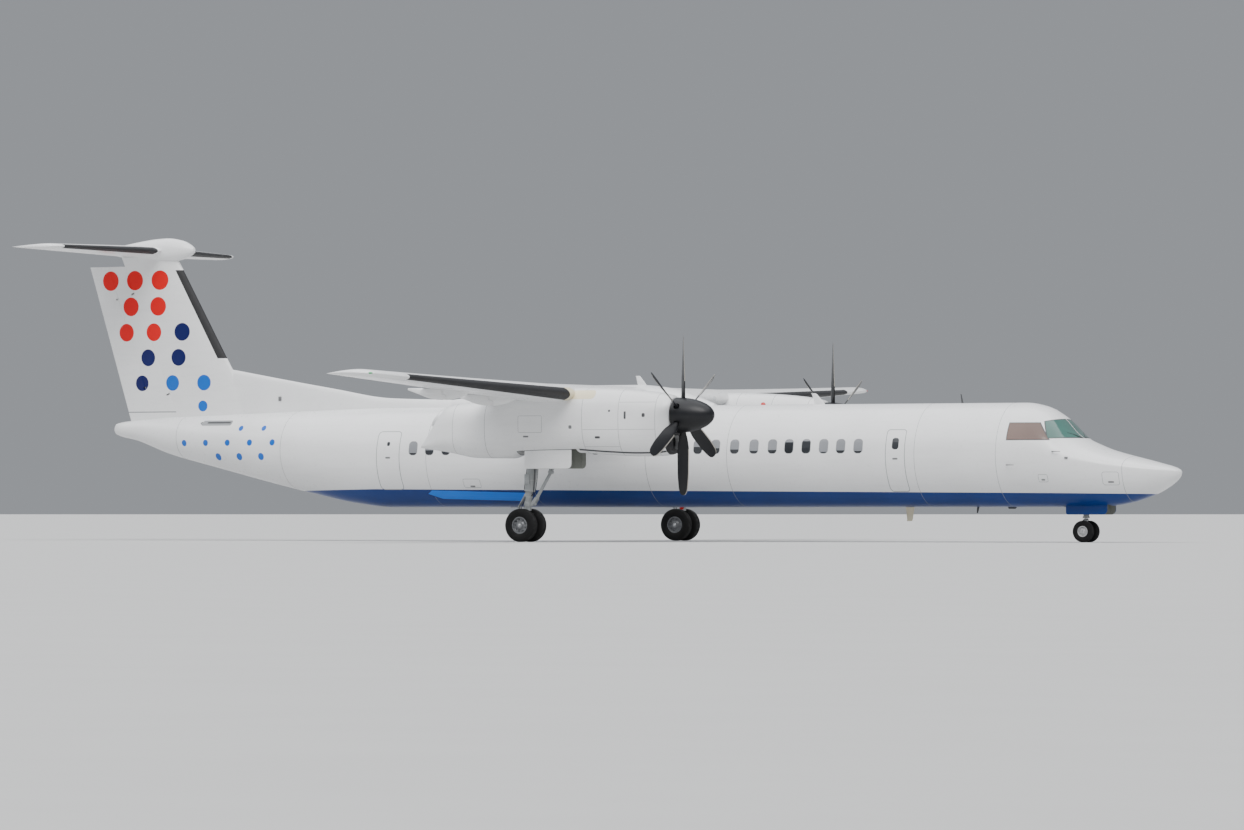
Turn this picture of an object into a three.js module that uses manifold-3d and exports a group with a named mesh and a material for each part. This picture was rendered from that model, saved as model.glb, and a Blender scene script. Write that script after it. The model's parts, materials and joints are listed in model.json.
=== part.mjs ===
// Turboprop airliner: high wing, two six-blade propellers, T-tail, standing on its wheels.
// Millimetres. X runs forward, Y to the left and Z up. Inside the group called aircraft, X counts
// from the main wheels' axle and Z from the ground. The group then moves so that X counts from
// the middle of the length.
import * as THREE from "three";
import { mergeVertices } from "three/addons/utils/BufferGeometryUtils.js";
import Module from "manifold-3d";

const wasm = await Module();
wasm.setup();

// Driving dimensions
const NOSE_X = 16580;
const TAIL_X = -16250;
const HALF_SPAN = 14210;
const FUSELAGE_R = 1345;
const BELLY_Z = 900;
const WHEELBASE = 13940;
const HALF_TRACK = 4395;
const PROPELLER_R = 2055;
const HUB_X = 4600;
const HUB_Z = BELLY_Z + 2366;
const WING_Z = 3810;
const TAILPLANE_Z = BELLY_Z + 7050;
const MAIN_TYRE = { radius: 432, width: 270, rim: 222, offset: 250 };
const NOSE_TYRE = { radius: 279.5, width: 165, rim: 140, offset: 180 };
const FIT = 0.3;
const RUN = 8;
const PIN_GAP = 0.35;
const FAR = 6000;

// Where the fuselage's panels meet
const RADOME_JOINT = 15310;
const FORWARD_JOINT = 4300;
const AFT_JOINT = -4700;

// Fuselage sections, heights counted from the belly.
// Columns: station, bottom, height of the widest point, top, half width
const FUSELAGE = [
  [-15210, 2010, 2150, 2310, 150],
  [-14520, 1840, 2120, 2400, 330],
  [-13435, 1460, 1975, 2480, 590],
  [-12020, 1110, 1830, 2530, 840],
  [-9075, 420, 1520, 2620, 1220],
  [-7465, 100, 1390, 2670, 1325],
  [-6435, 0, FUSELAGE_R, 2690, FUSELAGE_R],
  [12300, 0, FUSELAGE_R, 2690, FUSELAGE_R],
  [12830, 0, 1330, 2600, 1332],
  [13290, 0, 1290, 2340, 1300],
  [13850, 0, 1210, 1790, 1235],
  [14130, 0, 1170, 1660, 1190],
  [14500, 10, 1120, 1510, 1120],
  [14900, 55, 1060, 1395, 1010],
  [15310, 135, 1010, 1295, 880],
  [15710, 260, 970, 1200, 730],
  [16050, 410, 945, 1115, 565],
  [16340, 585, 925, 1040, 380],
  [16510, 730, 910, 980, 215],
  [NOSE_X, 830, 900, 935, 80],
];

// Fairing over the wing root, cut to sit on the fuselage. Columns as above
const WING_FAIRING = [
  [-4610, 2300, 2450, 2890, 160],
  [-3200, 2100, 2350, 3060, 640],
  [-2000, 2050, 2300, 3190, 930],
  [-800, 2050, 2300, 3245, 1040],
  [1000, 2050, 2300, 3245, 1040],
  [2000, 2050, 2300, 3150, 930],
  [2750, 2100, 2350, 2930, 640],
  [3300, 2300, 2450, 2720, 260],
];

// Dorsal ridge ahead of the fin. Columns as above
const DORSAL = [
  [-12020, 2300, 2450, 3860, 130],
  [-11405, 2300, 2450, 3750, 120],
  [-8310, 2300, 2450, 3220, 120],
  [-6550, 2300, 2450, 2950, 135],
  [-4610, 2300, 2450, 2890, 160],
];

// Engine cowl and the nacelle behind it, about the nacelle's middle. Columns as above
const COWL_FRONT = 4400;
const COWL = [
  [1750, 1405, 2300, 3100, 625],
  [2600, 1345, 2290, 3070, 610],
  [3460, 1310, 2280, 3010, 585],
  [4100, 1325, 2270, 2930, 550],
  [4310, 1360, 2260, 2880, 505],
  [COWL_FRONT, 1410, 2250, 2820, 445],
];
const NACELLE = [
  [-3030, 1545, 1590, 1640, 180],
  [-2170, 1420, 1900, 2660, 470],
  [-1350, 1280, 2050, 2760, 585],
  [-350, 1270, 2150, 2950, 620],
  [0, 1370, 2200, 3040, 625],
  [1750, 1405, 2300, 3100, 625],
];

// Bullet fairing on top of the fin, heights from the tailplane's plane. Columns as above
const BULLET = [
  [-15570, -40, 0, 40, 40],
  [-14940, -170, 0, 190, 140],
  [-13580, -310, 0, 350, 265],
  [-13110, -240, 0, 280, 220],
  [-12830, -130, 0, 150, 130],
  [-12730, -40, 0, 50, 45],
];

// Wing sections of the left side. Columns: span, leading edge, trailing edge, height, thickness
const WING = [
  [0, 1700, -1000, WING_Z, 0.18],
  [5050, 1700, -1000, WING_Z, 0.18],
  [14000, 1000, -350, WING_Z + 390, 0.13],
  [14150, 900, -310, WING_Z + 396, 0.1],
  [HALF_SPAN, 720, -240, WING_Z + 399, 0.05],
];
const WING_JOINT = 5050;
const WING_CAMBER = 0.02;

// Tailplane sections of the left side. Columns as the wing's
const TAILPLANE = [
  [0, -13600, TAIL_X, TAILPLANE_Z, 0.115],
  [4480, -14175, -15740, TAILPLANE_Z, 0.1],
  [4590, -14260, -15715, TAILPLANE_Z, 0.07],
  [4635, -14410, -15670, TAILPLANE_Z, 0.03],
];

// Fin sections. Columns: height, leading edge, trailing edge, thickness
const FIN = [
  [BELLY_Z + 2300, -10665, -14740, 0.085],
  [BELLY_Z + 6895, -13305, -16175, 0.105],
];

const FINISH = {
  white: { color: 0xf2f3f4, roughness: 0.32, metalness: 0 },
  blue: { color: 0x0f3c78, roughness: 0.35, metalness: 0 },
  black: { color: 0x1f2124, roughness: 0.45, metalness: 0 },
  tyre: { color: 0x17181a, roughness: 0.88, metalness: 0 },
  rim: { color: 0x9b9ea2, roughness: 0.4, metalness: 0.7 },
  steel: { color: 0xa9adb1, roughness: 0.35, metalness: 0.8 },
  gear: { color: 0xc9ccce, roughness: 0.45, metalness: 0.2 },
  engine: { color: 0x74777a, roughness: 0.55, metalness: 0.6 },
};

const aircraft = new THREE.Group();
const group = new THREE.Group();
group.add(aircraft);
aircraft.position.x = -(NOSE_X + TAIL_X) / 2;

// Solids from points and triangles

const v3 = (x, y, z) => new THREE.Vector3(x, y, z);

function solidFrom(positions, indices) {
  let volume = 0;
  for (let i = 0; i < indices.length; i += 3) {
    const [a, b, c] = [0, 1, 2].map((k) => v3().fromArray(positions, 3 * indices[i + k]));
    volume += a.dot(b.cross(c));
  }
  const triVerts = new Uint32Array(indices);
  if (volume < 0) triVerts.reverse();
  const mesh = new wasm.Mesh({ numProp: 3, vertProperties: new Float32Array(positions), triVerts });
  return new wasm.Manifold(mesh);
}

function solidOf(geometry) {
  const plain = geometry.index ? geometry.toNonIndexed() : geometry.clone();
  const bare = new THREE.BufferGeometry().setAttribute("position", plain.getAttribute("position"));
  const merged = mergeVertices(bare, 1e-3);
  const all = merged.index.array;
  const kept = [];
  for (let i = 0; i < all.length; i += 3) {
    const [a, b, c] = all.slice(i, i + 3);
    if (a !== b && b !== c && c !== a) kept.push(a, b, c);
  }
  return solidFrom(merged.attributes.position.array, kept);
}

function mirrored(solid) {
  const mesh = solid.getMesh();
  const positions = Float32Array.from(mesh.vertProperties);
  for (let i = 1; i < positions.length; i += 3) positions[i] = -positions[i];
  return solidFrom(positions, mesh.triVerts);
}

// The space between rings of equal length, closed by a strip of triangles across each end ring.
function loft(rings) {
  const n = rings[0].length;
  const indices = [];
  for (let r = 0; r + 1 < rings.length; r++)
    for (let i = 0; i < n; i++) {
      const j = (i + 1) % n;
      const [a, b, c, d] = [r * n + i, r * n + j, (r + 1) * n + j, (r + 1) * n + i];
      indices.push(a, b, c, a, c, d);
    }
  const close = (base, turn) => {
    const face = (a, b, c) =>
      turn ? indices.push(base + a, base + c, base + b) : indices.push(base + a, base + b, base + c);
    for (let low = 0, high = n - 1; high - low >= 2; high--) {
      face(low, high, low + 1);
      low++;
      if (high - low >= 2) face(low, high, high - 1);
    }
  };
  close(0, false);
  close((rings.length - 1) * n, true);
  return solidFrom(rings.flat().flatMap((p) => p.toArray()), indices);
}

// A row of a table at any place between its first column's values
function rowAt(table, place) {
  const k = Math.min(
    table.length - 2,
    Math.max(0, table.findIndex((row) => row[0] > place) - 1),
  );
  const past = place >= table[table.length - 1][0] ? table.length - 2 : k;
  const [a, b] = [table[past], table[past + 1]];
  const t = (place - a[0]) / (b[0] - a[0]);
  return a.map((value, i) => value + (b[i] - value) * t);
}

// A closed oval across X with its own curves above and below the widest height
function oval([x, bottom, middle, top, half], { y = 0, z = BELLY_Z, grow = 0, sides = 28, power = 2 }) {
  return Array.from({ length: sides }, (_, i) => {
    const angle = ((i + 0.5) / sides) * 2 * Math.PI - Math.PI / 2;
    const bend = (value) => Math.sign(value) * Math.abs(value) ** (2 / power);
    const up = bend(Math.sin(angle));
    const rise = up > 0 ? top - middle + grow : middle - bottom + grow;
    return v3(x, y + (half + grow) * bend(Math.cos(angle)), z + middle + rise * up);
  });
}

// A lofted body from a table of ovals, between two stations
function body(table, from, to, options = {}) {
  const inner = table.filter(([x]) => x > from && x < to);
  const rows = [rowAt(table, from), ...inner, rowAt(table, to)];
  rows[0][0] = from;
  rows[rows.length - 1][0] = to;
  return loft(rows.map((row) => oval(row, options)));
}

// Height of an aerofoil's middle line and its half thickness, at a share of the chord
const foilShape = (share, thickness, camber) => ({
  middle: camber * 4 * share * (1 - share),
  half:
    5 * thickness *
    (0.2969 * Math.sqrt(share) - 0.126 * share - 0.3516 * share ** 2 +
      0.2843 * share ** 3 - 0.1015 * share ** 4),
});

// Points round an aerofoil, trailing edge first over the top, as [x, height] pairs
function foil(leading, trailing, thickness, camber, grow = 0) {
  const chord = leading - trailing;
  const steps = 6;
  const at = (k, side) => {
    const share = (1 - Math.cos((k / steps) * Math.PI)) / 2;
    const { middle, half } = foilShape(share, thickness, camber);
    return new THREE.Vector2(leading - share * chord, (middle + side * half) * chord);
  };
  const upper = Array.from({ length: steps + 1 }, (_, i) => at(steps - i, 1));
  const lower = Array.from({ length: steps }, (_, i) => at(i + 1, -1));
  return widened([...upper, ...lower], grow).map((p) => p.toArray());
}

// A closed row of points, clockwise, moved outwards by the same distance on every edge
function widened(points, grow) {
  const n = points.length;
  const outward = (i) => {
    const along = points[(i + 1) % n].clone().sub(points[i % n]).normalize();
    return new THREE.Vector2(-along.y, along.x);
  };
  return points.map((point, i) => {
    const [before, after] = [outward(i + n - 1), outward(i)];
    return point.clone().addScaledVector(before.clone().add(after), grow / (1 + before.dot(after)));
  });
}

const wingRing = ([y, leading, trailing, z, thickness], camber, grow = 0) =>
  foil(leading, trailing, thickness, camber, grow).map(([x, up]) => v3(x, y, z + up));

const finRing = ([z, leading, trailing, thickness]) =>
  foil(leading, trailing, thickness, 0).map(([x, side]) => v3(x, side, z));

function box(low, high) {
  const size = high.clone().sub(low);
  const middle = low.clone().add(high).multiplyScalar(0.5);
  const geometry = new THREE.BoxGeometry(size.x, size.y, size.z);
  return solidOf(geometry.translate(middle.x, middle.y, middle.z));
}

function rod(from, to, radius, sides = 10, start = 0) {
  const along = to.clone().sub(from);
  const length = along.length();
  const geometry = new THREE.CylinderGeometry(radius, radius, length, sides, 1, false, start);
  geometry.translate(0, length / 2, 0);
  const turn = new THREE.Quaternion().setFromUnitVectors(v3(0, 1, 0), along.normalize());
  geometry.applyQuaternion(turn).translate(from.x, from.y, from.z);
  return solidOf(geometry);
}

// A body turned about Y from pairs of radius and Y
function turned(pairs, sides) {
  const profile = pairs.map(([radius, y]) => new THREE.Vector2(radius / Math.cos(Math.PI / sides), y));
  return new THREE.LatheGeometry(profile, sides).rotateY(Math.PI / sides);
}

// The bore for a pin, whose flats face the pin's corners
const bore = (from, to, radius, sides = 10) =>
  rod(from, to, (radius + PIN_GAP) / Math.cos(Math.PI / sides), sides, Math.PI / sides);
const joined = (...solids) => solids.reduce((all, next) => all.add(next));
const cut = (solid, ...tools) => tools.reduce((left, tool) => left.subtract(tool), solid);
const largest = (solid) => solid.decompose().reduce((a, b) => (b.volume() > a.volume() ? b : a));

function geometryOf(solid) {
  const mesh = solid.getMesh();
  const positions = new THREE.BufferAttribute(Float32Array.from(mesh.vertProperties), 3);
  const indices = new THREE.BufferAttribute(Uint32Array.from(mesh.triVerts), 1);
  return new THREE.BufferGeometry().setAttribute("position", positions).setIndex(indices);
}

function piece(name, solid, finish, place = v3(0, 0, 0), side = 1) {
  const mesh = new THREE.Mesh(
    geometryOf(largest(solid)),
    new THREE.MeshStandardMaterial(FINISH[finish]),
  );
  mesh.name = name;
  mesh.position.copy(place);
  mesh.scale.y = side;
  aircraft.add(mesh);
}

function pair(name, solid, finish) {
  piece(name + "_left", solid, finish);
  piece(name + "_right", solid, finish, v3(0, 0, 0), -1);
}

// Hinges. A hinge frame's Y runs along the hinge line, X forward, and Z to the side that is left.

function hingeFrame(from, to) {
  const along = to.clone().sub(from).normalize();
  const forward = v3(1, 0, 0).addScaledVector(along, -along.x).normalize();
  const across = forward.clone().cross(along);
  const frame = new THREE.Matrix4().makeBasis(forward, along, across).setPosition(from);
  return { frame, length: to.distanceTo(from) };
}

const inFrame = (frame, solid) => {
  const mesh = solid.getMesh();
  const moved = new THREE.BufferAttribute(Float32Array.from(mesh.vertProperties), 3);
  moved.applyMatrix4(frame);
  return solidFrom(moved.array, mesh.triVerts);
};

// The space of a moving surface: round ahead of its hinge line, open behind it. The flats of the
// round part lie on its radius where it is grown, so that a surface inside can turn.
function noseBody({ frame, length }, radii, ends, grow = 0) {
  const steps = 6;
  const outside = grow ? 1 / Math.cos(Math.PI / steps / 2) : 1;
  const rings = ends.map((y) => {
    const radius = (radii[0] + ((radii[1] - radii[0]) * y) / length + grow) * outside;
    const arc = Array.from({ length: steps + 1 }, (_, i) => {
      const angle = Math.PI / 2 - (i / steps) * Math.PI;
      return v3(radius * Math.cos(angle), y, radius * Math.sin(angle));
    });
    return [v3(-FAR / 2, y, radius), ...arc, v3(-FAR / 2, y, -radius)];
  });
  return inFrame(frame, loft(rings));
}

// A tongue on the fixed side, which a pin in the moving side's slot runs through
const TONGUE = { half: 16, end: 34, pin: 12, sides: 6 };

function tongueHinge({ frame }, place, reach) {
  const { half, end, pin } = TONGUE;
  const bar = box(v3(0, place - half, -end * 0.8), v3(reach, place + half, end * 0.8));
  const boss = rod(v3(0, place - half, 0), v3(0, place + half, 0), end, TONGUE.sides);
  const through = FIT * 10;
  const hole = bore(
    v3(0, place - half - through, 0),
    v3(0, place + half + through, 0),
    pin,
    TONGUE.sides,
  );
  const room = half + RUN;
  const slot = box(v3(-end - RUN, place - room, -reach), v3(reach * 2, place + room, reach));
  const pinRod = rod(v3(0, place - room - 8, 0), v3(0, place + room + 8, 0), pin, TONGUE.sides);
  return {
    tongue: inFrame(frame, cut(joined(bar, boss), hole)),
    slot: inFrame(frame, slot),
    pin: inFrame(frame, pinRod),
  };
}

// Splits a surface off its carrier along a hinge line, and joins the two with tongues and pins.
function splitAt(carrier, skin, hinge, radii, ends, limits, places) {
  const grownEnds = [ends[0] - limits.gap, ends[1] + limits.gap];
  let moving = skin.intersect(noseBody(hinge, radii, ends));
  let room = noseBody(hinge, radii, grownEnds, RUN);
  if (limits.slab) {
    moving = moving.intersect(limits.slab);
    room = room.intersect(limits.room);
  }
  let fixed = carrier.subtract(room);
  for (const place of places) {
    const radius = radii[0] + ((radii[1] - radii[0]) * place) / hinge.length;
    const { tongue, slot, pin } = tongueHinge(hinge, place, radius + RUN + 40);
    moving = moving.subtract(slot).add(pin);
    fixed = fixed.add(tongue);
  }
  return [fixed, moving];
}

// Fuselage

const fuselage = (from, to, grow = 0) => body(FUSELAGE, from, to, { grow });

// Nose wheel bay
const NOSE_BAY = { front: 14720, back: 13420, half: 290, top: BELLY_Z + 700 };
const noseBay = box(
  v3(NOSE_BAY.back, -NOSE_BAY.half, 0),
  v3(NOSE_BAY.front, NOSE_BAY.half, NOSE_BAY.top),
);

// Passenger door with its steps, hinged along its lower edge, and the entrance behind it
const DOOR = { x: 10400, width: 760, sill: BELLY_Z + 480, height: 1650, thick: 80, depth: 1250 };
const doorLow = v3(DOOR.x - DOOR.width / 2, 0, DOOR.sill);
const doorHigh = v3(DOOR.x + DOOR.width / 2, 2000, DOOR.sill + DOOR.height);
const entrance = box(
  doorLow.clone().setY(FUSELAGE_R - DOOR.depth),
  doorHigh,
);
const shell = fuselage(9000, 12000).subtract(fuselage(8900, 12100, -DOOR.thick));
const doorPanel = shell.intersect(
  box(doorLow.clone().addScalar(RUN), doorHigh.clone().addScalar(-RUN)),
);
const HINGE = { z: DOOR.sill + 4, inset: 18, radius: 16, length: 60, gap: 0.4, offset: 230, relief: 32 };
const hingeY = Math.sqrt(FUSELAGE_R ** 2 - (BELLY_Z + FUSELAGE_R - HINGE.z) ** 2) - HINGE.inset;
const knuckle = (from, to, radius) => rod(v3(from, hingeY, HINGE.z), v3(to, hingeY, HINGE.z), radius);
const knuckleSeat = (from, to) =>
  knuckle(from, to, HINGE.radius).add(
    box(v3(from, hingeY - 32, HINGE.z - 42), v3(to, hingeY - 8, HINGE.z)),
  );

let door = doorPanel;
const doorGroove = knuckle(doorLow.x, doorHigh.x, HINGE.relief);
let forward = cut(fuselage(FORWARD_JOINT, RADOME_JOINT), entrance, noseBay, doorGroove);
for (const side of [-1, 1]) {
  const from = DOOR.x + side * HINGE.offset - HINGE.length / 2;
  const to = from + HINGE.length;
  const stretches = [
    [from - HINGE.length, from - HINGE.gap],
    [to + HINGE.gap, to + HINGE.length],
  ];
  for (const [start, end] of stretches) {
    door = door.subtract(knuckle(start - RUN, end + RUN, HINGE.radius + RUN));
    forward = forward.add(knuckleSeat(start, end));
  }
  door = door.add(knuckle(from, to, HINGE.radius));
}
const STEPS = { count: 4, first: 260, pitch: 330, deep: 230, thick: 30, half: 300 };
for (let i = 0; i < STEPS.count; i++) {
  const z = DOOR.sill + STEPS.first + i * STEPS.pitch;
  const skin = Math.sqrt(FUSELAGE_R ** 2 - (BELLY_Z + FUSELAGE_R - z) ** 2) - DOOR.thick / 2;
  door = door.add(
    box(
      v3(DOOR.x - STEPS.half, skin - STEPS.deep, z - STEPS.thick / 2),
      v3(DOOR.x + STEPS.half, skin, z + STEPS.thick / 2),
    ),
  );
}

piece("radome", fuselage(RADOME_JOINT, NOSE_X), "white");
piece("forward_fuselage", forward, "white");
piece("centre_fuselage", fuselage(AFT_JOINT, FORWARD_JOINT), "white");
piece("aft_fuselage", fuselage(FUSELAGE[0][0], AFT_JOINT), "white");
piece("airstair_door", door, "white");

// Wing

const wingBetween = (from, to, grow = 0) => {
  const rows = WING.filter(([y]) => y > from && y < to);
  return loft([rowAt(WING, from), ...rows, rowAt(WING, to)].map((r) => wingRing(r, WING_CAMBER, grow)));
};
const centreSkin = (grow = 0) =>
  loft([-WING_JOINT, WING_JOINT].map((y) => wingRing([y, ...WING[1].slice(1)], WING_CAMBER, grow)));

// A point of the wing at a share of the chord, lowered by drop
function wingPoint(y, share, drop = 0) {
  const [, leading, trailing, z, thickness] = rowAt(WING, y);
  const chord = leading - trailing;
  const { middle, half } = foilShape(share, thickness, WING_CAMBER);
  return { point: v3(leading - share * chord, y, z + middle * chord - drop), half: half * chord };
}

// Flaps hang on hinges below the wing, inside canoe fairings. Columns: first span, last span
const FLAPS = { inner: [1470, 3690], outer: [5110, 9800] };
const FLAP = { share: 0.715, drop: 300, setback: 50, nose: 72, width: 200 };
// Fairing under a flap hinge, in the hinge's frame. Columns: along, bottom, middle, top, half width
const CANOE = [
  [-1050, 190, 215, 240, 8],
  [-760, 90, 200, 240, 32],
  [-350, -40, 120, 230, 50],
  [0, -FLAP.nose, 60, 250, 54],
  [400, -20, 80, 240, 46],
  [860, 170, 200, 220, 8],
];

function flapOff(carrier, skin, [from, to], places) {
  const hinge = hingeFrame(
    wingPoint(from, FLAP.share, FLAP.drop).point,
    wingPoint(to, FLAP.share, FLAP.drop).point,
  );
  const { frame, length } = hinge;
  const behind = (setback, gap) =>
    inFrame(frame, box(v3(-FAR / 2, -gap, -FAR / 4), v3(-setback, length + gap, FAR / 4)));
  let moving = skin.intersect(behind(FLAP.setback, 0));
  let fixed = carrier.subtract(behind(FLAP.setback - RUN, RUN));
  for (const place of places) {
    const canoe = inFrame(frame, body(CANOE, -1050, 860, { y: place, z: 0, sides: 8 }));
    const nose = (grow) =>
      noseBody(hinge, [FLAP.nose, FLAP.nose], [place - FLAP.width, place + FLAP.width], grow);
    const still = cut(canoe, nose(RUN), behind(FLAP.setback - RUN, RUN));
    const swung = canoe.intersect(nose(0).add(behind(FLAP.setback, 0)));
    const { tongue, slot, pin } = tongueHinge(hinge, place, FLAP.nose + RUN + 60);
    moving = moving.add(swung.subtract(slot).add(pin));
    fixed = joined(fixed, still, tongue);
  }
  return [fixed, moving];
}

// The carriers are cut on the left side only; the other side is its mirror image.
const CANOE_PLACES = { inner: [430, 1850], outer: [780, 3400] };
const leftHalf = box(v3(-FAR, 0, 0), v3(FAR, FAR, FAR * 2));
const [centreLeft, innerFlap] = flapOff(
  centreSkin().intersect(leftHalf),
  centreSkin(),
  FLAPS.inner,
  CANOE_PLACES.inner,
);
const centreWing = joined(centreLeft, mirrored(centreLeft));

const outerSkin = wingBetween(WING_JOINT, HALF_SPAN);
const [outerFlapped, outerFlap] = flapOff(outerSkin, outerSkin, FLAPS.outer, CANOE_PLACES.outer);

const AILERON = { from: 9950, to: 13560, share: 0.73, nose: 1.15, places: [500, 3100] };
const aileronEnds = [AILERON.from, AILERON.to].map((y) => wingPoint(y, AILERON.share));
const aileronHinge = hingeFrame(...aileronEnds.map(({ point }) => point));
const [outerWing, aileron] = splitAt(
  outerFlapped,
  outerSkin,
  aileronHinge,
  aileronEnds.map(({ half }) => half * AILERON.nose),
  [0, aileronHinge.length],
  { gap: RUN },
  AILERON.places,
);

piece("centre_wing", centreWing, "white");
pair("outer_wing", outerWing, "white");
pair("flap_inner", innerFlap, "white");
pair("flap_outer", outerFlap, "white");
pair("aileron", aileron, "white");

const fairing = cut(
  body(WING_FAIRING, WING_FAIRING[0][0], 3300),
  fuselage(-8000, 8000, FIT),
  centreSkin(FIT),
  box(v3(-FAR, -FAR, 0), v3(FAR, FAR, BELLY_Z + 2250)),
);
const flapRoom = box(v3(-FAR, 1440, 0), v3(-200, FAR, FAR));
piece("wing_fairing", cut(fairing, flapRoom, mirrored(flapRoom)), "white");

// Fin and rudders

const finSkin = loft(FIN.map(finRing));
const finPoint = (height, share) => {
  const [z, leading, trailing, thickness] = rowAt(FIN, BELLY_Z + height);
  const { half } = foilShape(share, thickness, 0);
  return { point: v3(leading - share * (leading - trailing), 0, z), half: half * (leading - trailing) };
};
// The hinge lines lean aft, so a side of the rudder's foot dips as it turns: gap leaves room for it.
const RUDDER = { bottom: 2640, top: 6640, share: 0.62, trailing: 0.8, nose: 1.15, gap: 28 };
const rudderEnds = (share) => [RUDDER.bottom, RUDDER.top].map((h) => finPoint(h, share));
const slabBetween = (low, high) => box(v3(-FAR * 4, -FAR, low), v3(FAR, FAR, high));

function rudderSplit(carrier, skin, share, top, places) {
  const ends = rudderEnds(share);
  const hinge = hingeFrame(...ends.map(({ point }) => point));
  const limits = {
    gap: 0,
    slab: slabBetween(BELLY_Z + RUDDER.bottom, BELLY_Z + RUDDER.top),
    room: slabBetween(BELLY_Z + RUDDER.bottom - RUDDER.gap, top),
  };
  const radii = ends.map(({ half }) => half * RUDDER.nose);
  const reach = [-700, hinge.length + 700];
  return splitAt(carrier, skin, hinge, radii, reach, limits, places);
}

const bullet = (grow = 0) =>
  body(BULLET, BULLET[0][0], BULLET[BULLET.length - 1][0], { z: TAILPLANE_Z, grow, sides: 16 });
const dorsal = body(DORSAL, DORSAL[0][0], DORSAL[DORSAL.length - 1][0], { sides: 10 });
const finBody = cut(joined(finSkin, dorsal), fuselage(FUSELAGE[0][0] - 10, 0, FIT), bullet(FIT));
const [fin, wholeRudder] = rudderSplit(finBody, finSkin, RUDDER.share, FAR * 2, [500, 3500]);
const [foreRudder, trailingRudder] = rudderSplit(
  wholeRudder,
  finSkin,
  RUDDER.trailing,
  FAR * 2,
  [700, 3300],
);
piece("fin", fin, "white");
piece("fore_rudder", foreRudder, "white");
piece("trailing_rudder", trailingRudder, "white");

// Tailplane and elevators

const ELEVATOR = { x: -15190, from: 300, to: 4470, nose: 1.15, places: [500, 3600] };
const tailHalf = loft(TAILPLANE.map((row) => wingRing(row, 0)));
const elevatorEnds = [ELEVATOR.from, ELEVATOR.to].map((y) => {
  const [, leading, trailing, z, thickness] = rowAt(TAILPLANE, y);
  const chord = leading - trailing;
  const { half } = foilShape((leading - ELEVATOR.x) / chord, thickness, 0);
  return { point: v3(ELEVATOR.x, y, z), half: half * chord };
});
const elevatorHinge = hingeFrame(...elevatorEnds.map(({ point }) => point));
const [tailLeft, elevator] = splitAt(
  tailHalf,
  tailHalf,
  elevatorHinge,
  elevatorEnds.map(({ half }) => half * ELEVATOR.nose),
  [0, elevatorHinge.length],
  { gap: RUN },
  ELEVATOR.places,
);
piece("tailplane", joined(tailLeft, mirrored(tailLeft), bullet()), "white");
pair("elevator", elevator, "white");

// Nacelles, cowls and engines, on the left side

const nacelleOptions = { y: HALF_TRACK, sides: 20, power: 2.5 };
const COWL_JOINT = 1750;
const COWL_WALL = 45;
const GEAR_BAY = { front: 1660, back: -60, half: 350, top: 2900 };
const JET_PIPE = { x: -2700, z: BELLY_Z + 2330, radius: 215, depth: 900 };
const nacelleBody = cut(
  body(NACELLE, NACELLE[0][0], COWL_JOINT, nacelleOptions),
  centreSkin(FIT),
  box(
    v3(GEAR_BAY.back, HALF_TRACK - GEAR_BAY.half, 0),
    v3(GEAR_BAY.front, HALF_TRACK + GEAR_BAY.half, GEAR_BAY.top),
  ),
  rod(
    v3(JET_PIPE.x - 600, HALF_TRACK, JET_PIPE.z),
    v3(JET_PIPE.x + JET_PIPE.depth, HALF_TRACK, JET_PIPE.z),
    JET_PIPE.radius,
  ),
);
pair("nacelle", nacelleBody, "white");

// The cowl's front wall, with a hole for the shaft and the air intake's mouth below it
const FRONT_WALL = 180;
const SHAFT_HOLE = 230;
const INTAKE = { bottom: 1475, middle: 1670, top: 1865, half: 310 };
const cutFrom = COWL_FRONT - FRONT_WALL - 120;
const cutTo = COWL_FRONT + 100;
const mouth = loft(
  [cutFrom, cutTo].map((x) =>
    oval([x, INTAKE.bottom, INTAKE.middle, INTAKE.top, INTAKE.half], nacelleOptions),
  ),
);
const cowl = cut(
  body(COWL, COWL_JOINT, COWL_FRONT, nacelleOptions),
  body(COWL, COWL_JOINT - 20, COWL_FRONT - FRONT_WALL, { ...nacelleOptions, grow: -COWL_WALL }),
  centreSkin(FIT),
  rod(v3(cutFrom, HALF_TRACK, HUB_Z), v3(cutTo, HALF_TRACK, HUB_Z), SHAFT_HOLE, 20),
  mouth,
);
pair("cowl", cowl, "white");

const ENGINE = { half: 310, low: BELLY_Z + 1950, high: BELLY_Z + 2650, front: 4050 };
const GEARBOX = { radius: 190, front: 4300 };
const SHAFT = { radius: 70, tip: 4550, sides: 20 };
const engine = joined(
  box(
    v3(COWL_JOINT + FIT, HALF_TRACK - ENGINE.half, ENGINE.low),
    v3(ENGINE.front, HALF_TRACK + ENGINE.half, ENGINE.high),
  ),
  rod(
    v3(ENGINE.front - 100, HALF_TRACK, HUB_Z),
    v3(GEARBOX.front, HALF_TRACK, HUB_Z),
    GEARBOX.radius,
    20,
  ),
  rod(
    v3(GEARBOX.front - 100, HALF_TRACK, HUB_Z),
    v3(SHAFT.tip, HALF_TRACK, HUB_Z),
    SHAFT.radius,
    SHAFT.sides,
  ),
);
pair("engine", engine, "engine");

// Propellers: both turn the same way, so the right one is a copy and not a mirror image.
// Blade sections. Columns: radius, chord, thickness, pitch in degrees
const BLADES = 6;
const BLADE = [
  [150, 130, 105, 58],
  [400, 130, 105, 58],
  [620, 235, 52, 50],
  [1000, 325, 34, 42],
  [1500, 330, 22, 35],
  [1920, 260, 13, 31],
  [PROPELLER_R, 90, 5, 30],
];
const SPINNER = { back: 4430, front: 5480, radius: 455, wall: 16, hub: 170, hubFront: 4870, sides: 16 };

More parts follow.
